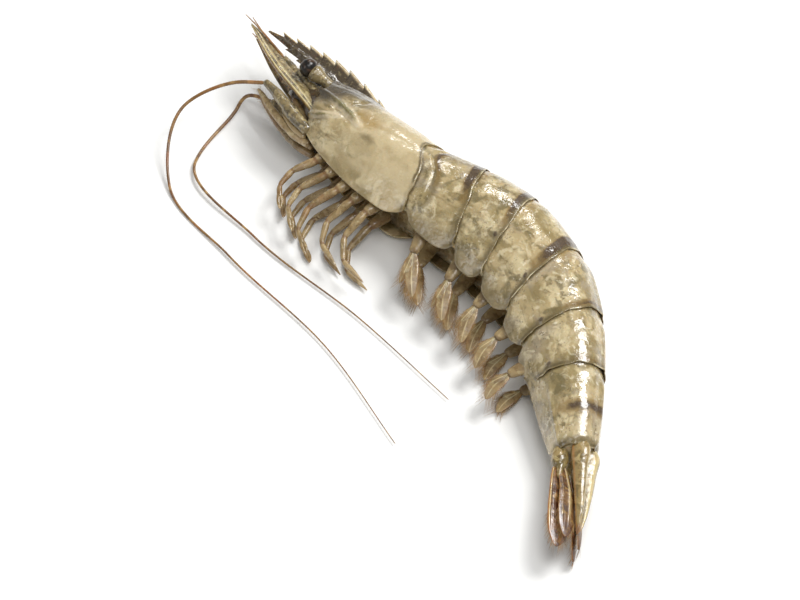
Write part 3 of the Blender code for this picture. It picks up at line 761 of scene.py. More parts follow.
def plate_tree():
    """Makes a thin shell of a plate's outside: its rear lifts, its covered front sinks, its face is dented.

    The layers rear and front are the ways to those edges and relief the height of ridges, all in mm, and wall
    is the share of the full thickness; what has no wall, such as the rostrum, is kept as it is.
    """
    numbers = ("Lip", "Lip Width", "Sink", "Sink Width", "Dent", "Dent Size", "Wall")
    tree, given = new_tree("plate_shell", numbers)

    def slope(way, start, end, first, last):
        """From first to last as a way in mm goes from start to end."""
        sockets = {0: way, 1: start, 2: end, 3: first, 4: last}
        return add(tree, "ShaderNodeMapRange", sockets, interpolation_type="SMOOTHSTEP")

    rear, front, relief, wall = (layer(tree, name) for name in ("rear", "front", "relief", "wall"))
    walled = add(tree, "FunctionNodeCompare", {0: wall, 1: 0.01}, operation="GREATER_THAN")
    outside = add(tree, "GeometryNodeSeparateGeometry", {0: given["Geometry"], 1: walled})
    kept = outside.node.outputs[1]
    lip = slope(rear, 0.0, given["Lip Width"], given["Lip"], 0.0)
    sink = slope(front, 0.0, given["Sink Width"], given["Sink"], 0.0)
    spot = add(tree, "GeometryNodeInputPosition")
    finer = maths(tree, "DIVIDE", 1.0, given["Dent Size"])
    clouds = add(tree, "ShaderNodeTexNoise", {"Vector": spot, "Scale": finer, "Detail": 2.0})
    deep = slope(rear, 0.4, 3.0, 0.0, given["Dent"])
    dent = maths(tree, "MULTIPLY", maths(tree, "SUBTRACT", clouds, 0.5), deep)
    height = maths(tree, "ADD", maths(tree, "SUBTRACT", lip, sink), dent)
    height = maths(tree, "MULTIPLY", maths(tree, "ADD", height, relief), MM)
    normal = add(tree, "GeometryNodeInputNormal")
    move = vectors(tree, "SCALE", {0: normal, "Scale": height})
    face = add(tree, "GeometryNodeSetPosition", {0: outside, "Offset": move})
    above_floor = vectors(tree, "MAXIMUM", {0: spot, 1: (-9.0, -9.0, 0.0)})
    face = add(tree, "GeometryNodeSetPosition", {0: face, "Position": above_floor})
    deep = maths(tree, "MULTIPLY", maths(tree, "MULTIPLY", wall, given["Wall"]), -MM)
    inwards = {0: face, "Offset": normal, "Offset Scale": deep, "Individual": False}
    inside = add(tree, "GeometryNodeExtrudeMesh", inwards, mode="FACES")
    inside = add(tree, "GeometryNodeFlipFaces", {0: inside})
    shell = add(tree, "GeometryNodeJoinGeometry", {0: [face, inside, kept]})
    shell = add(tree, "GeometryNodeMergeByDistance", {0: shell, "Distance": MERGE * MM})
    return end_tree(tree, given, shell)


def fringe_tree():
    """Sets a row of bristles along each wire: they point along its lean and are as long as its reach."""
    tree, given = new_tree("bristle_fringe", ("Spacing", "Thickness", "Unevenness"), ("Seed",))
    ends = {0: (-1.0, -1.0, -1.0), 1: (1.0, 1.0, 1.0), "Seed": given["Seed"]}
    stray = add(tree, "FunctionNodeRandomValue", ends, data_type="FLOAT_VECTOR")
    stray = vectors(tree, "SCALE", {0: stray, "Scale": given["Unevenness"]})
    lean = vectors(tree, "ADD", {0: layer(tree, "lean", "FLOAT_VECTOR"), 1: stray})
    turn = add(tree, "FunctionNodeAlignRotationToVector", {"Vector": lean}, axis="Z")
    longer = add(tree, "FunctionNodeRandomValue", {2: 0.7, 3: 1.15, "Seed": given["Seed"]}, take=1)
    long = maths(tree, "MULTIPLY", layer(tree, "reach"), longer)
    size = add(tree, "ShaderNodeCombineXYZ", {0: given["Thickness"], 1: given["Thickness"], 2: long})
    cone = {"Vertices": BRISTLE_SIDES, "Radius Top": BRISTLE_TIP, "Radius Bottom": 1.0, "Depth": 1.0}
    bristle = add(tree, "GeometryNodeMeshCone", cone)
    row = {0: stepped(tree, given, "Spacing"), "Instance": bristle, "Rotation": turn, "Scale": size}
    return end_tree(tree, given, add(tree, "GeometryNodeInstanceOnPoints", row))


LIMB_TREE, FRINGE_TREE, PLATE_TREE = limb_tree(), fringe_tree(), plate_tree()


def grow(holder, tree, inputs):
    """Runs a geometry tree on an object and keeps the result as one plain mesh object of the same name."""
    name = holder.name
    modifier = holder.modifiers.new("grow", "NODES")
    modifier.node_group = tree
    for item in tree.interface.items_tree:
        if item.in_out == "INPUT" and item.name in inputs:
            modifier[item.identifier] = inputs[item.name]
    graph = bpy.context.evaluated_depsgraph_get()
    grown = holder.evaluated_get(graph)
    mesh = bpy.data.meshes.new_from_object(grown, preserve_all_data_layers=True, depsgraph=graph)
    bpy.data.objects.remove(holder)
    mesh.name = name
    mesh.shade_smooth()
    return show(name, mesh)


def grow_limb(node, cover, wires, skin, slot="shell", step=0.35, ringing=0.0, sides=14, flatness=1.0):
    """A limb swept along wires: the cover of a node, or a piece of its own when it has no cover's name."""
    sizes = {"Step": step * MM, "Ringing": ringing, "Sides": sides, "Flatness": flatness, "Skin": skin}
    settle(grow(path_object(node + cover, wires), LIMB_TREE, sizes), slot, *([node] if cover else []))


def grow_fringe(name, wires, spacing, thick, seed, unevenness=0.18):
    """A fringe of bristles set along wires."""
    sizes = {"Spacing": spacing * MM, "Thickness": thick * MM, "Unevenness": unevenness, "Seed": seed}
    settle(grow(path_object(name, wires), FRINGE_TREE, {**sizes, "Skin": HAIR}), "horn")


def walked(points):
    """How far along a path each of its points lies."""
    return np.append(0, np.cumsum(np.linalg.norm(np.diff(points, axis=0), axis=1)))


def smooth_path(points, count):
    """count points along the smooth curve through a few points."""
    table = np.column_stack([walked(points), points])
    at = np.linspace(0, table[-1, 0], count)
    return np.stack([curve(table, at, column) for column in (1, 2, 3)], axis=1)


def round_ends(points, girth):
    """The girth, drawn in at both ends of a path to close it like a fingertip."""
    at = walked(points)
    near = np.minimum(at / (0.8 * girth[0]), (at[-1] - at) / (0.8 * girth[-1]))
    return girth * np.sqrt(1.0001 - (1 - np.clip(near, 0, 1)) ** 2)


def beside(side, station, left, up):
    """Points at body places, mirrored to one side of the body."""
    return place(station, side * left, up)


def body_wire(rows, side, count):
    """A wire through rows of (station, left, up, half width, half thickness), on one side."""
    table = np.column_stack([np.arange(len(rows)), rows])
    at = np.linspace(0, len(rows) - 1, count)
    *spots, across, thick = (curve(table, at, column) for column in range(1, 6))
    points = beside(side, *spots)
    girth = round_ends(points, (across + thick) / 2)
    return {"points": points, "girth": girth * MM, "joint": np.zeros(count)}


def bent_path(corners, count, soft):
    """count points along straight runs between corners, each corner rounded over a soft length."""
    corners = np.asarray(corners, float)
    knots = walked(corners)
    at = np.linspace(0, knots[-1], count)
    room = np.minimum(soft, np.minimum(at, knots[-1] - at))
    spread = at + room * np.linspace(-1, 1, 9)[:, None]
    return np.stack([np.interp(spread, knots, axis).mean(axis=0) for axis in corners.T], axis=1)


# ---- tail

TELSON, TELSON_COVERED = 27.0, 1.5
TAIL_START = HINGES[6] + 0.4
TELSON_ROWS = (
    (0, 4.6, 5.0, 1.0), (0.06, 5.0, 5.6, 0.87), (0.3, 4.3, 4.4, 0.73), (0.6, 3.0, 3.1, 0.6),
    (0.85, 1.6, 1.9, 0.47), (0.96, 0.75, 1.1, 0.33), (1, 0.2, 0.5, 0.2),
)
TELSON_OUTLINE = (
    (-1, 0.25), (-0.96, 0.62), (-0.72, 1), (-0.5, 1.02), (-0.3, 0.92), (-0.12, 0.78), (0, 0.72), (0.12, 0.78),
    (0.3, 0.92), (0.5, 1.02), (0.72, 1), (0.96, 0.62), (1, 0.25), (0.86, 0.06), (0.5, 0), (0, -0.02),
    (-0.5, 0), (-0.86, 0.06),
)
TAIL_KNOB = (
    (-2.5, 3.0, -2.5, 1.9, 1.9), (0.6, 3.4, -2.6, 2.5, 2.5), (3.0, 3.9, -2.6, 2.8, 2.7),
    (5.2, 4.3, -2.7, 2.3, 2.1), (6.6, 4.6, -2.8, 1.5, 1.2),
)
TAIL_LOBE = ((2.0, 4.2, -1.9, 1.9, 1.9), (6.0, 4.7, -2.2, 1.2, 1.2), (10.0, 5.4, -2.7, 0.3, 0.3))
BLADE_WIDTH = ((0, 0.52), (0.08, 0.66), (0.3, 0.86), (0.6, 1.0), (0.82, 0.9), (1, 0.62))
TAIL_BLADES = {"inner": (24.0, (0.7, 0.0), (6.2, -2.2)), "outer": (27.0, (1.0, -2.0), (7.6, -4.9))}
BLADE_ROOT = 5.6


def oval(first, last, count):
    """count steps round from first over the middle to last and back, for a thin closed section."""
    there = np.linspace(first, last, count)
    return np.concatenate([there, there[-2:0:-1]]), np.concatenate([np.ones(count), -np.ones(count - 2)])


def make_telson():
    """The middle piece of the tail fan, grooved down its back between two pale ribs."""
    share = np.linspace(0, 1, 60)[:, None]
    across, rise = np.array(TELSON_OUTLINE).T
    half, deep, low = (curve(TELSON_ROWS, share, column) for column in (1, 2, 3))
    stations = TAIL_START - TELSON_COVERED + (TELSON + TELSON_COVERED) * share
    form = Form()
    groove = 1 - 0.35 * bump(across / 0.22) * (rise > 0.3) * fade(share, 0.0, 0.12)
    form.solid(
        place(stations, half * across, low + deep * rise * groove),
        rib=bump((np.abs(across) - 0.42) / 0.16) * (rise > 0.5) + 0 * stations,
        tip=0.6 * fade(share, 0.8, 1.0) + 0 * across,
        rim=bump((np.abs(across) - 1) / 0.12) * (rise < 0.3) * 0.8 + 0 * stations,
    )
    settle(form.finish("telson_shell", FAN_PALE), "shell", "telson")


def blade_spots(length, inner, outer, share, across, lift):
    """(station, left, up) on a tail blade: across is -1 at its inner edge and 1 at its outer edge."""
    inner, outer = np.array(inner), np.array(outer)
    middle, reach = (inner + outer) / 2, (outer - inner) / 2
    root = (inner + outer) * 0.3 + np.array([1.8, -1.2])
    upward = np.array([-reach[1], reach[0]]) / np.hypot(*reach)
    spread = np.clip(share * 3.2, 0, 1)[..., None]
    wide = (curve(BLADE_WIDTH, share) * np.sqrt(np.clip(1 - share**9, 0.002, 1)))[..., None]
    arch = 0.55 * (1 - across**2) * np.hypot(*reach) * 0.3
    spot = root + (middle - root) * spread + reach * wide * across[..., None]
    spot = spot + upward * (lift + arch * wide[..., 0])[..., None]
    return TAIL_START + BLADE_ROOT + length * share, spot[..., 0], spot[..., 1]


def make_tail_blade(kind, side_name, side):
    """A thin ribbed leaf of the tail fan, with its fringe of bristles."""
    length, inner, outer = TAIL_BLADES[kind]
    across, face = oval(-1, 1, 33)
    share = (1 - (1 - np.linspace(0, 1, 90)) ** 1.3)[:, None]
    across, face = across[None] + 0 * share, face[None] + 0 * share
    ribs = bump((across + 0.15) / 0.07) + 0.8 * bump((across + 0.32) / 0.06)
    high, at, wide = (1.2, 0.88, 0.08) if kind == "outer" else (0.5, 0.6, 0.1)
    ribs = ribs + high * bump((across - at) / wide)
    veins = 0.05 * np.cos(across * 42 + share * 6) * (np.abs(across) < 0.95)
    thick = 0.2 * np.sqrt(np.clip(1 - across**2, 0, 1)) + 0.26 * ribs * fade(share, 1.0, 0.55) + veins
    spots = blade_spots(length, inner, outer, share + 0 * across, across, face * thick)
    form = Form()
    form.solid(
        beside(side, *spots), rib=np.clip(ribs, 0, 1) * (face > 0) * fade(share, 1.0, 0.6),
        tip=0.7 * fade(share, 0.35, 1.0) * (0.6 + 0.4 * face), rim=bump((np.abs(across) - 1) / 0.14),
    )
    node = f"{kind}_tail_blade_{side_name}"
    settle(form.finish(node + "_leaf", FAN), "tail_fan", node)
    return [fringe_wire(length, inner, outer, side, end) for end in (-1, 1)]


def fringe_wire(length, inner, outer, side, end):
    """The wire of bristle roots along one edge of a tail blade."""
    share = np.linspace(0.3 if end < 0 else 0.62, 0.985, 40)
    within, here = (
        beside(side, *blade_spots(length, inner, outer, share, np.full_like(share, end * way), 0 * share))
        for way in (0.8, 1)
    )
    return edge_bristles(within, here, (0.5 + 0.2 * share)[:, None], 1.2 + 2.4 * share**2)


def make_tail():
    """Telson, knobs, blades and fringes."""
    make_telson()
    wires = []
    for side_name, side in SIDES.items():
        starts = np.array((TAIL_START - 0.5, 0, 0, 0, 0))
        knob = [body_wire(starts + rows, side, 20) for rows in (TAIL_KNOB, TAIL_LOBE)]
        grow_limb(f"tail_knob_{side_name}", "_shell", knob, FAN_PALE, sides=20)
        for kind in TAIL_BLADES:
            wires += make_tail_blade(kind, side_name, side)
    grow_fringe("tail_fan_bristles", wires, spacing=0.28, thick=0.055, seed=11)


# ---- head

EYE_STALK = (
    (2.0, 3.0, 8.5, 2.0, 1.8), (-0.5, 3.8, 8.3, 1.8, 1.6), (-2.2, 4.7, 8.15, 1.8, 1.7),
    (-3.6, 5.3, 8.0, 2.3, 2.1), (-5.2, 5.8, 7.85, 2.8, 2.6), (-6.6, 6.2, 7.75, 2.9, 2.7),
    (-7.2, 6.4, 7.7, 2.7, 2.5),
)
ANTENNULE_BASE = (
    (2.5, 2.8, 4.0, 1.7, 1.5), (0.5, 2.6, 4.2, 1.8, 1.5), (-5, 2.4, 4.7, 1.75, 1.6),
    (-6.6, 2.4, 4.9, 1.25, 1.2), (-8, 2.4, 5.0, 1.6, 1.2), (-12.4, 2.2, 5.6, 1.35, 1.1),
    (-13.4, 2.2, 5.7, 1.05, 1.1),
    (-14.6, 2.2, 5.9, 1.35, 1.1), (-19.5, 2.1, 6.6, 1.0, 0.9),
)
WHIPS = (
    (
        (-19.2, 2.6, 6.5, 0.7, 0.45), (-25, 3.55, 7.4, 0.45, 0.36),
        (-31, 4.7, 8.2, 0.3, 0.26), (-38, 5.3, 8.8, 0.12, 0.16),
    ),
    (
        (-19.2, 1.6, 6.6, 0.7, 0.45), (-25, 1.6, 7.4, 0.45, 0.36),
        (-31, 1.6, 8.87, 0.3, 0.26), (-38, 1.4, 10.8, 0.12, 0.16),
    ),
)
ANTENNA_BASE = (
    (8.5, 5.6, -7.8, 1.9, 1.7), (4.0, 6.0, -7.4, 2.1, 1.9), (1.0, 6.3, -7.0, 2.3, 2.0),
    (-2, 6.4, -6.4, 2.35, 2.0), (-3.6, 6.3, -6.0, 1.8, 2.0),
    (-5, 6.2, -5.7, 2.1, 1.6), (-8.6, 6.0, -4.9, 1.85, 1.6), (-9.8, 5.9, -4.7, 1.4, 1.6),
    (-11, 5.8, -4.5, 1.7, 1.1),
    (-14.4, 5.6, -4.15, 1.15, 1.1), (-15.6, 5.5, -4.0, 0.9, 0.9),
)
JAW_LEG = (
    (10.5, 3.2, -10.2, 1.3, 1.1), (4, 3.3, -10.7, 1.45, 1.25), (1.4, 3.4, -10.5, 1.1, 1.25),
    (-1, 3.4, -10.2, 1.35, 1.2), (-7, 3.2, -9.1, 1.2, 1.05), (-8.6, 3.2, -8.7, 0.95, 1.05),
    (-10, 3.1, -8.3, 1.15, 1.0), (-14.5, 2.9, -7.0, 0.85, 0.8), (-17, 2.8, -6.4, 0.3, 0.4),
)
# Small mouth limbs in front of the jaws, all folded forward.
MOUTH_PALPS = (
    (
        (9, 2.0, -8.6, 1.4, 1.2), (3, 2.1, -8.6, 1.3, 1.1),
        (-2.5, 2.2, -7.6, 1.0, 0.8), (-6.5, 2.2, -6.2, 0.5, 0.4),
    ),
    (
        (8, 4.4, -9.6, 1.2, 1.0), (3, 4.8, -9.6, 1.1, 0.9),
        (-0.5, 4.9, -8.8, 0.9, 0.7), (-3.5, 4.6, -8.2, 0.4, 0.4),
    ),
    (
        (5, 2.8, -5.0, 1.7, 1.6), (1, 3.0, -4.2, 1.6, 1.5),
        (-2.5, 3.2, -3.0, 1.3, 1.2), (-5.5, 3.4, -1.9, 0.6, 0.6),
    ),
)
SCALE_ROWS = (
    (0, 2.4, -3.2), (0.08, 4.0, -2.6), (0.25, 5.8, -1.3), (0.5, 6.3, 0.6),
    (0.75, 4.9, 3.6), (0.92, 3.0, 6.3), (1, 0.9, 7.6),
)
SCALE_ROOT, SCALE_FRONT, SCALE_LENGTH, SCALE_OUT, SCALE_IN = 4.0, 1.5, 36.0, 7.6, 3.6
SCALE_LEAN = (-0.6, 0.8)
EYE_SWELL, EYE_ALONG, EYE_UP = 1.04, 0.86, 0.94  # the eye's size and flattening beside the solid's
HAIR_WAYS = ((0.0, -1.0, 0.3), (0.0, 1.0, 0.5))


def make_eye(side_name, side):
    """A black faceted ball, a little flattened, on its stalk."""
    ahead, out, up = EYE_MIDDLE
    turn = np.radians(np.linspace(2, 178, 40))[:, None]
    spin = np.linspace(0, 2 * math.pi, 48, endpoint=False)[None]
    size = EYE_RADIUS * EYE_SWELL
    form = Form()
    form.solid(beside(
        side, ahead + EYE_ALONG * size * np.cos(turn) + 0 * spin,
        out + size * np.sin(turn) * np.cos(spin), up + EYE_UP * size * np.sin(turn) * np.sin(spin),
    ))
    settle(form.finish(f"eye_{side_name}_ball", CORNEA), "eye_black", f"eye_{side_name}")
    stalk = body_wire(EYE_STALK, side, 24)
    grow_limb(f"eye_stalk_{side_name}", "_skin", [stalk], HEAD, step=0.3, sides=20)


def scale_spots(share, across, lift):
    """(station, left, up) on the broad scale: across is 0 at its outer rib and 1 at its thin inner edge."""
    wide = curve(SCALE_ROWS, share) * np.sqrt(np.clip(1 - share**14, 0.002, 1))
    lean_left, lean_up = SCALE_LEAN
    arch = 0.6 * np.sin(math.pi * across) + lift
    station = SCALE_FRONT + SCALE_ROOT - (SCALE_LENGTH + SCALE_ROOT) * share
    left = SCALE_OUT - SCALE_IN * share**1.6 + lean_left * wide * across + lean_up * arch
    return station, left, curve(SCALE_ROWS, share, 2) + lean_up * wide * across - lean_left * arch


def make_scale(side_name, side):
    """The long flat scale beside the feeler: a stout outer rib, fine veins and a fringed inner edge."""
    across, face = oval(0, 1, 30)
    share = (1 - (1 - np.linspace(0, 1, 100)) ** 1.2)[:, None]
    across, face = across[None] + 0 * share, face[None] + 0 * share
    rib = bump((across - 0.07) / 0.06)
    mid = bump((across - 0.3) / 0.035) + 0.7 * bump((across - 0.38) / 0.03)
    mid = mid + 0.5 * bump((across - 0.62) / 0.04)
    thin = np.sqrt(np.clip(1 - (2 * across - 1) ** 8, 0, 1))
    thick = 0.13 * thin + 0.5 * rib * fade(share, 1.0, 0.7) + 0.16 * mid * fade(share, 0.98, 0.6)
    form = Form()
    form.solid(
        beside(side, *scale_spots(share + 0 * across, across, face * thick)),
        rib=np.clip(rib + mid, 0, 1) * (face > 0), rim=bump(across / 0.06),
        gloom=0.35 * bump((across - 0.5) / 0.25) * fade(share, 0.6, 0.1),
    )
    node = f"antennal_scale_{side_name}"
    settle(form.finish(node + "_leaf", HEAD), "shell", node)
    share = np.linspace(0.2, 0.985, 60)
    within, here = (beside(side, *scale_spots(share, np.full(60, way), 0 * share)) for way in (0.85, 1))
    return edge_bristles(within, here, 0.6, 1.0 + 2.0 * share)


def make_head():
    """Eyes, short whips on their jointed bases, feeler bases, scales and mouth limbs."""
    fringes = []
    for side_name, side in SIDES.items():
        make_eye(side_name, side)
        base = body_wire(ANTENNULE_BASE, side, 60)
        grow_limb(f"antennule_base_{side_name}", "_skin", [base], HEAD, sides=16)
        for branch, rows in enumerate(WHIPS, 1):
            whip, node = body_wire(rows, side, 40), f"antennule_whip_{branch}_{side_name}"
            grow_limb(node, "_rings", [whip], HORN, "horn", 0.3, ringing=-0.14, sides=10)
        feeler_base = body_wire(ANTENNA_BASE, side, 60)
        grow_limb(f"antenna_base_{side_name}", "_skin", [feeler_base], HEAD, sides=18)
        jaw = body_wire(JAW_LEG, side, 70)
        grow_limb(f"jaw_leg_{side_name}", "_skin", [jaw], LIMB, "limb")
        fringes.append(make_scale(side_name, side))
        for wire, girth in ((base, 0.9), (jaw, 0.8)):
            for way in np.array(HAIR_WAYS):
                roots = wire["points"][len(wire["points"]) // 4 :] + way * girth * 0.6
                lean = np.tile(way + (-0.8, 0, 0), (len(roots), 1))
                fringes.append(bristle_row(roots, lean, np.full(len(roots), 2.0)))
    grow_fringe("head_bristles", fringes, spacing=0.4, thick=0.05, seed=5, unevenness=0.35)
    palps = [body_wire(rows, side, 30) for side in SIDES.values() for rows in MOUTH_PALPS]
    grow_limb("mouth_palps", "", palps, LIMB, "limb", sides=12, flatness=0.8)


# ---- legs

LEGS = (
    (17.0, 26, -130, -44), (22.9, 29, -123, -36), (29.2, 33, -116, -28),
    (34.9, 31, -104, -16), (40.6, 32, -92, -6),
)
LEG_LEFT, LEG_SINK, LEG_HIP_WAY = 4.2, 1.1, -100
HIP_DEEP, HIP_TOP = 3.6, 1.2  # how deep in the body the hip starts, and where it comes out
LEG_SHARES = (0.16, 0.3, 0.24, 0.3)
LEG_DIPS = {"left": (4, 25, 15, 8), "right": (4, 20, 6, 0)}
# Along a leg, from its root: (share, half width); joints pinch in.
LEG_GIRTH = (
    (-0.08, 2.5), (0, 2.1), (0.06, 1.9), (0.13, 1.6), (0.16, 1.25), (0.2, 1.36), (0.32, 1.26), (0.43, 1.0),
    (0.46, 0.86), (0.49, 0.98), (0.6, 0.92), (0.68, 0.76), (0.7, 0.68), (0.73, 0.8), (0.82, 0.84),
    (0.88, 0.7), (0.95, 0.36), (1, 0.12),
)
LEG_JOINTS = (0.16, 0.46, 0.7)
PADDLE_LENGTH, PADDLE_SHRINK, PADDLE_LEFT, PADDLE_DROP = 23.0, 1.6, 5.2, 3.0
STEM_DEEP, STEM_TOP = 5.0, 2.2
PADDLE_PARTS = ((0.36, -78, {"left": 16, "right": 4}), (0.64, -50, {"left": 20, "right": 6}))
STEM_GIRTH = ((0, 2.7), (0.4, 2.3), (0.7, 1.95), (0.88, 1.6), (1, 1.2))
LEAF_WIDTH = ((0, 1.0), (0.15, 1.6), (0.5, 1.95), (0.8, 1.5), (0.94, 0.8), (1, 0.15))
PADDLE_LEAVES = ((1.0, 1.0, 0), (0.72, 0.6, 24))  # share of the length, share of the width, swing
LEG_POINTS, HAIRS_FROM, PINCER_START = 90, 50, 0.87
PINCER_FINGERS = ((0.42, 5.0), (-0.5, 4.7))  # how far each opens out and reaches


def turned(length, bearing, dip):
    """A step of some length: bearing in the floor plane from +X, dip below the horizontal."""
    bearing, dip = math.radians(bearing), math.radians(dip)
    level = math.cos(dip)
    return np.array([math.cos(bearing) * level, math.sin(bearing) * level, -math.sin(dip)]) * length


def on_floor(points, girth):
    """The points, raised where a limb of that half width would sink into the floor."""
    points = np.array(points)
    points[:, 2] = np.maximum(points[:, 2], girth)
    return points


def limb_wire(points, girth, joint):
    """The wire of a limb, raised clear of the floor."""
    return {"points": on_floor(points, girth), "girth": girth * MM, "joint": joint}


def make_leg(side_name, side, number):
    """One walking leg: hip, long upper part, knee and the part folded back; the first three have pincers."""
    station, length, way, fold = LEGS[number - 1]
    low = LEG_SINK - curve(BOTTOM, station)
    inner, root = (beside(side, station, LEG_LEFT, low + deep) for deep in (HIP_DEEP, HIP_TOP))
    ways = (LEG_HIP_WAY, way, (way + fold) / 2, fold)
    steps = [turned(length * share, *turn) for share, *turn in zip(LEG_SHARES, ways, LEG_DIPS[side_name])]
    knees = [inner, root, *(root + np.cumsum(steps, axis=0))]
    path = bent_path(knees, LEG_POINTS, 1.5)
    share = np.linspace((HIP_TOP - HIP_DEEP) / length, 1, LEG_POINTS)
    girth = round_ends(path, curve(LEG_GIRTH, share))
    joint = np.max([bump((share - at) / 0.022) for at in LEG_JOINTS], axis=0)
    clawed = number <= 3
    keep = int(LEG_POINTS * (PINCER_START if clawed else 1))
    wires = [limb_wire(path[:keep], girth[:keep], joint[:keep])]
    if clawed:
        away = path[-1] - path[-12]
        away /= np.linalg.norm(away)
        sideways = np.cross(away, (0, 0, 1))
        start = path[keep - 3]
        for open_out, reach in PINCER_FINGERS:
            at = np.linspace(0, 1, 14)[:, None]
            finger = start + away * reach * at + sideways * open_out * np.sin(math.pi * (0.15 + 0.75 * at))
            size = 0.62 * (1 - at[:, 0] ** 2) ** 0.7 + 0.05
            wires.append(limb_wire(finger, size, 0.3 * bump((at[:, 0] - 0.1) / 0.1)))
    grow_limb(f"walking_leg_{number}_{side_name}", "_skin", wires, LIMB, "limb", flatness=0.9)
    hairs = slice(HAIRS_FROM, keep - 2)
    roots = on_floor(path[hairs], girth[hairs])
    return bristle_row(roots, np.tile((0.9, -0.5, 0.1), (len(roots), 1)), np.full(len(roots), 1.4))


def make_paddle(side_name, side, number):
    """One swimming leg: a stout stem and two leaves with long bristles."""
    station = (HINGES[number - 1] + HINGES[number]) / 2 + 1.0
    belly = curve(BELLY_RECESS, station) - curve(BOTTOM, station)
    low = belly - PADDLE_DROP
    inner, root = (beside(side, station, PADDLE_LEFT, low + deep) for deep in (STEM_DEEP, STEM_TOP))
    points = [root]
    bearing = curve(BEND, station)
    for share, swing, dips in PADDLE_PARTS:
        length = (PADDLE_LENGTH - PADDLE_SHRINK * number) * share
        points.append(points[-1] + turned(length, bearing + swing, dips[side_name]))
    stem = smooth_path([inner, points[0], (points[0] + points[1]) / 2, points[1]], 24)
    share = np.linspace(0, 1, 24)
    girth = round_ends(stem, curve(STEM_GIRTH, share))
    node = f"swimming_leg_{number}_{side_name}"
    form = Form()
    joint = 0.7 * fade(share, 0.8, 1.0)[:, None]
    skin_rings(form, on_floor(stem, 0.6 * girth), girth, 0.6 * girth, joint)
    fringes = []
    _, leaf_swing, dips = PADDLE_PARTS[1]
    for reach, spread, swing in PADDLE_LEAVES:
        tip = points[1] + turned(length * reach, bearing + leaf_swing - swing, dips[side_name] - 2)
        bent = (points[1] + tip) / 2 + turned(1.6, bearing - 60, -20)
        leaf = smooth_path([points[1] - (points[1] - points[0]) * 0.08, bent, tip], 40)
        share = np.linspace(0, 1, 40)
        half = spread * curve(LEAF_WIDTH, share)
        leaf = on_floor(leaf, 0.35)
        flat = skin_rings(form, leaf, half, 0.1 + 0.14 * (1 - share), joint=stripes(share), rib=True)
        for end in (-1, 1):
            roots = leaf + end * flat * half[:, None] * 0.92
            lean = end * flat * 0.45 + directions(leaf)
            fringes.append(bristle_row(roots[6:], lean[6:], (2.2 + 2.2 * share[6:]) * spread**0.5))
    settle(form.finish(node + "_leaves", LEAF), "limb", node)
    return fringes


def stripes(share):
    """Fine cross-lines of a leaf built of many short joints, as a column."""
    return 0.3 + 0.22 * np.sin(share * 75)[:, None]


def skin_rings(form, path, half, thick, joint=0.0, rib=False):
    """Adds a flattened limb along a path, lying level; returns which way is across."""
    along = directions(path)
    flat = unit(np.cross(along, (0, 0, 1.0)))
    normal = np.cross(flat, along)
    spin = np.linspace(0, 2 * math.pi, 24, endpoint=False)
    ridge = 1 + (0.6 * bump(np.cos(spin) / 0.22) if rib else 0)
    rings = (
        path[:, None] + (half[:, None] * np.cos(spin))[..., None] * flat[:, None]
        + (thick[:, None] * np.sin(spin) * ridge)[..., None] * normal[:, None]
    )
    rings[..., 2] = np.maximum(rings[..., 2], 0.02)
    edge_on = np.abs(np.cos(spin)) + 0 * rings[..., 0]
    form.solid(
        rings, joint=joint + 0 * rings[..., 0], rim=rib * fade(edge_on, 0.8, 0.98),
        rib=rib * bump(edge_on / 0.16) * (np.sin(spin) > 0),
    )
    return flat


def make_legs():
    """Walking legs, swimming legs and their bristles."""
    leg_hairs, paddle_hairs = [], []
    for side_name, side in SIDES.items():
        for number in range(1, 6):
            leg_hairs.append(make_leg(side_name, side, number))
            paddle_hairs += make_paddle(side_name, side, number)
    grow_fringe("leg_bristles", leg_hairs, spacing=0.5, thick=0.045, seed=3, unevenness=0.4)
    grow_fringe("paddle_bristles", paddle_hairs, spacing=0.24, thick=0.055, seed=7, unevenness=0.12)


# ---- feelers

FEELER_ROOT = (-14.8, 5.5, -4.1)
FEELER_TIP, FEELER_TAPER = 0.15, 0.5
FEELER_START = ((0, 0, 0, 0, 0), (-9, -4.0, -2.5, 0, -1.6), (-12, -15, -7, -4, -4))
FEELER_FLOOR = ((-2, -36, 1.2, 0, -4), (30, -43, 0.9, 0, -4), (75, -46, 0.9, 0, -6), (115, -54, 0.9, 0, -10))


def make_feelers():
    """The two long feelers, ringed all the way and thin as thread at the end."""
    station, left, up = FEELER_ROOT
    for side_name, side in SIDES.items():
        root = beside(side, station, left, up)
        route = [root + (x + side * dx, y + side * dy, z) for x, y, z, dx, dy in FEELER_START]
        route += [(root[0] + x + side * dx, root[1] + y + side * dy, z) for x, y, z, dx, dy in FEELER_FLOOR]
        path = smooth_path(route, 160)
        share = np.linspace(0, 1, 160)
        girth = round_ends(path, FEELER_TIP + FEELER_TAPER * (1 - share) ** 1.3)
        wire = limb_wire(path, girth, 0 * share)
        grow_limb(f"feeler_{side_name}", "_rings", [wire], HORN, "horn", 0.45, ringing=-0.12, sides=10)


# ---- soft body


CORE_FRONT, BELLY_TURN, GAP = -10.0, 0.9, 1.3  # the gap is between the soft body and the shell, in mm


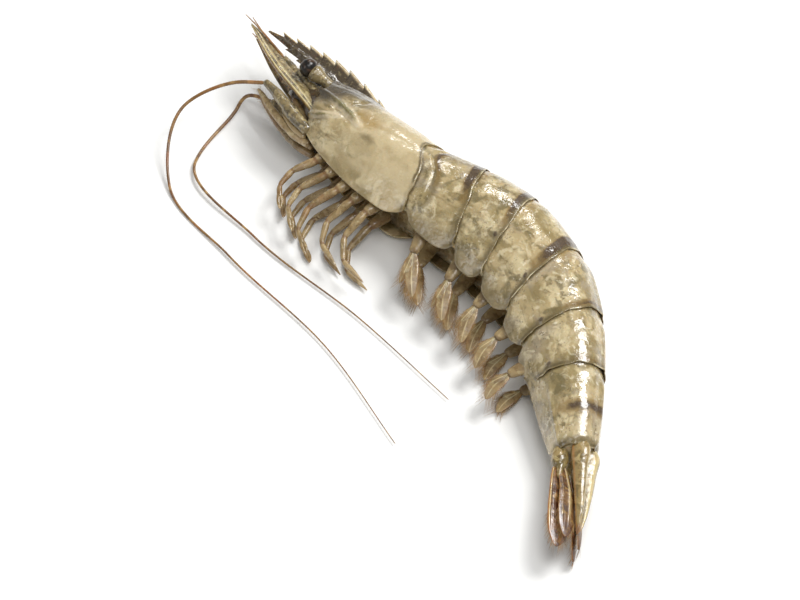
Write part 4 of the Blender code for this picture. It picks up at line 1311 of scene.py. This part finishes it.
def make_core():
    """The soft body in the shell: it shows as the belly between the legs, the face and at the tail's root."""
    front, rear = CORE_FRONT, HINGES[6] + 1.4
    head, tail = front + 11.5 * np.linspace(0, 1, 30) ** 1.6, rear - 2 * np.linspace(1, 0, 8) ** 2
    stations = np.concatenate([head, np.arange(2.0, rear - 2, 0.8), tail])[:, None]
    turn = np.linspace(-BELLY_TURN, BELLY_TURN, 60)[None]
    left, up = flank(stations, turn)
    size = 1 - GAP / np.hypot(left, up)
    face = 0.42 + 0.58 * fade(stations, front, 5)
    close = np.sqrt(np.clip(1 - np.clip((3 - stations + front) / 3, 0, 1) ** 2, 0.01, 1))
    close = close * np.sqrt(np.clip(1 - np.clip((stations - rear + 2.4) / 2.4, 0, 1) ** 2, 0.01, 1))
    left, up = left * size * face * close, up * size * face * close
    recess = curve(BELLY_RECESS, stations)
    across = np.linspace(0.97, -0.97, 36)[None]
    middles = (HINGES[:5] + HINGES[1:6]) / 2 + 1.0
    ribs = sum(bump((stations - middle) / 2.2) for middle in middles)
    ribs = ribs + 0.7 * bump((stations % 5.9 - 3) / 1.3) * fade(stations, 48, 42) * fade(stations, 10, 16)
    wide = (1 - across**2) ** 0.5
    folds = 0.16 * np.sin(stations * 1.5 + 1.2 * across**2) * (1 - np.clip(ribs, 0, 1))
    belly_up = up[:, -1:] + wide * np.abs(recess) * 0.8 * close - (1.5 * ribs + folds) * wide
    belly_left = left[:, -1:] * across
    hardened = np.clip(ribs, 0, 1) * wide * fade(np.abs(across), 0.95, 0.8)
    form = Form()
    form.solid(
        np.concatenate([place(stations, left, up, 0.5), place(stations, belly_left, belly_up, 0.5)], axis=1),
        gloom=np.concatenate([fade(stations, 12, 4) + 0 * left, fade(stations, 18, 3) + 0 * across], axis=1),
        rib=np.concatenate([0 * left, hardened], axis=1),
    )
    settle(form.finish("soft_body", FLESH), "limb")


# ---- the set

FLOOR_SIZE = 3.0
ROOM_LIGHT = 0.36
# Lights: (name, azimuth, height, distance, size, watts), in degrees and metres.
LIGHTS = (
    ("key", 160, 55, 0.9, 0.34, 6.4),
    ("top", 75, 72, 1.0, 0.4, 3.2),
    ("fill", -20, 35, 1.1, 0.5, 1.6),
    ("glint", 212, 40, 0.9, 0.16, 1.2),
)
VIEW_AZIMUTH, VIEW_HEIGHT, VIEW_DISTANCE, VIEW_LENS = 43.6, 50.95, 1.5375, 236.0
VIEW_TARGET = (0.004, -0.008, 0.01)


def make_floor():
    """A plain pale table."""
    mesh = bpy.data.meshes.new("table")
    half = FLOOR_SIZE / 2
    corners = [(-half, -half, 0), (half, -half, 0), (half, half, 0), (-half, half, 0)]
    mesh.from_pydata(corners, [], [(0, 1, 2, 3)])
    mesh.materials.append(make_material("painted_board", "#eeeeec", (), ((6.0, 0.02),), (0.5, 0.6, 30)))
    show("table", mesh)


def make_light(name, azimuth, height, distance, size, watts):
    """A square soft light that faces the origin."""
    light = bpy.data.lights.new(name, "AREA")
    light.size, light.energy = size, watts
    aim(show(name, light), azimuth, height, distance, (0, 0, 0))


def aim(thing, azimuth, height, distance, target):
    """Puts a light or camera at an azimuth and height in degrees round a target, facing it."""
    turn, tilt = math.radians(azimuth), math.radians(height)
    away = Vector((math.sin(turn) * math.cos(tilt), -math.cos(turn) * math.cos(tilt), math.sin(tilt)))
    thing.location = Vector(target) + away * distance
    thing.rotation_euler = away.to_track_quat("Z", "Y").to_euler()


def make_set():
    """Table, soft lights and the camera."""
    make_floor()
    world = bpy.data.worlds.new("studio")
    world.use_nodes = True
    white = {"Color": (1.0, 1.0, 1.0, 1.0), "Strength": ROOM_LIGHT}
    plug(world.node_tree, world.node_tree.nodes["Background"], white)
    bpy.context.scene.world = world
    for light in LIGHTS:
        make_light(*light)
    camera = bpy.data.cameras.new("camera")
    camera.lens = VIEW_LENS
    eye = show("camera", camera)
    aim(eye, VIEW_AZIMUTH, VIEW_HEIGHT, VIEW_DISTANCE, VIEW_TARGET)
    bpy.context.scene.camera = eye
    bpy.context.scene.view_settings.view_transform = "Standard"


for number in range(len(HINGES)):
    make_plate(number)
make_core()
make_tail()
make_head()
make_legs()
make_feelers()
make_set()
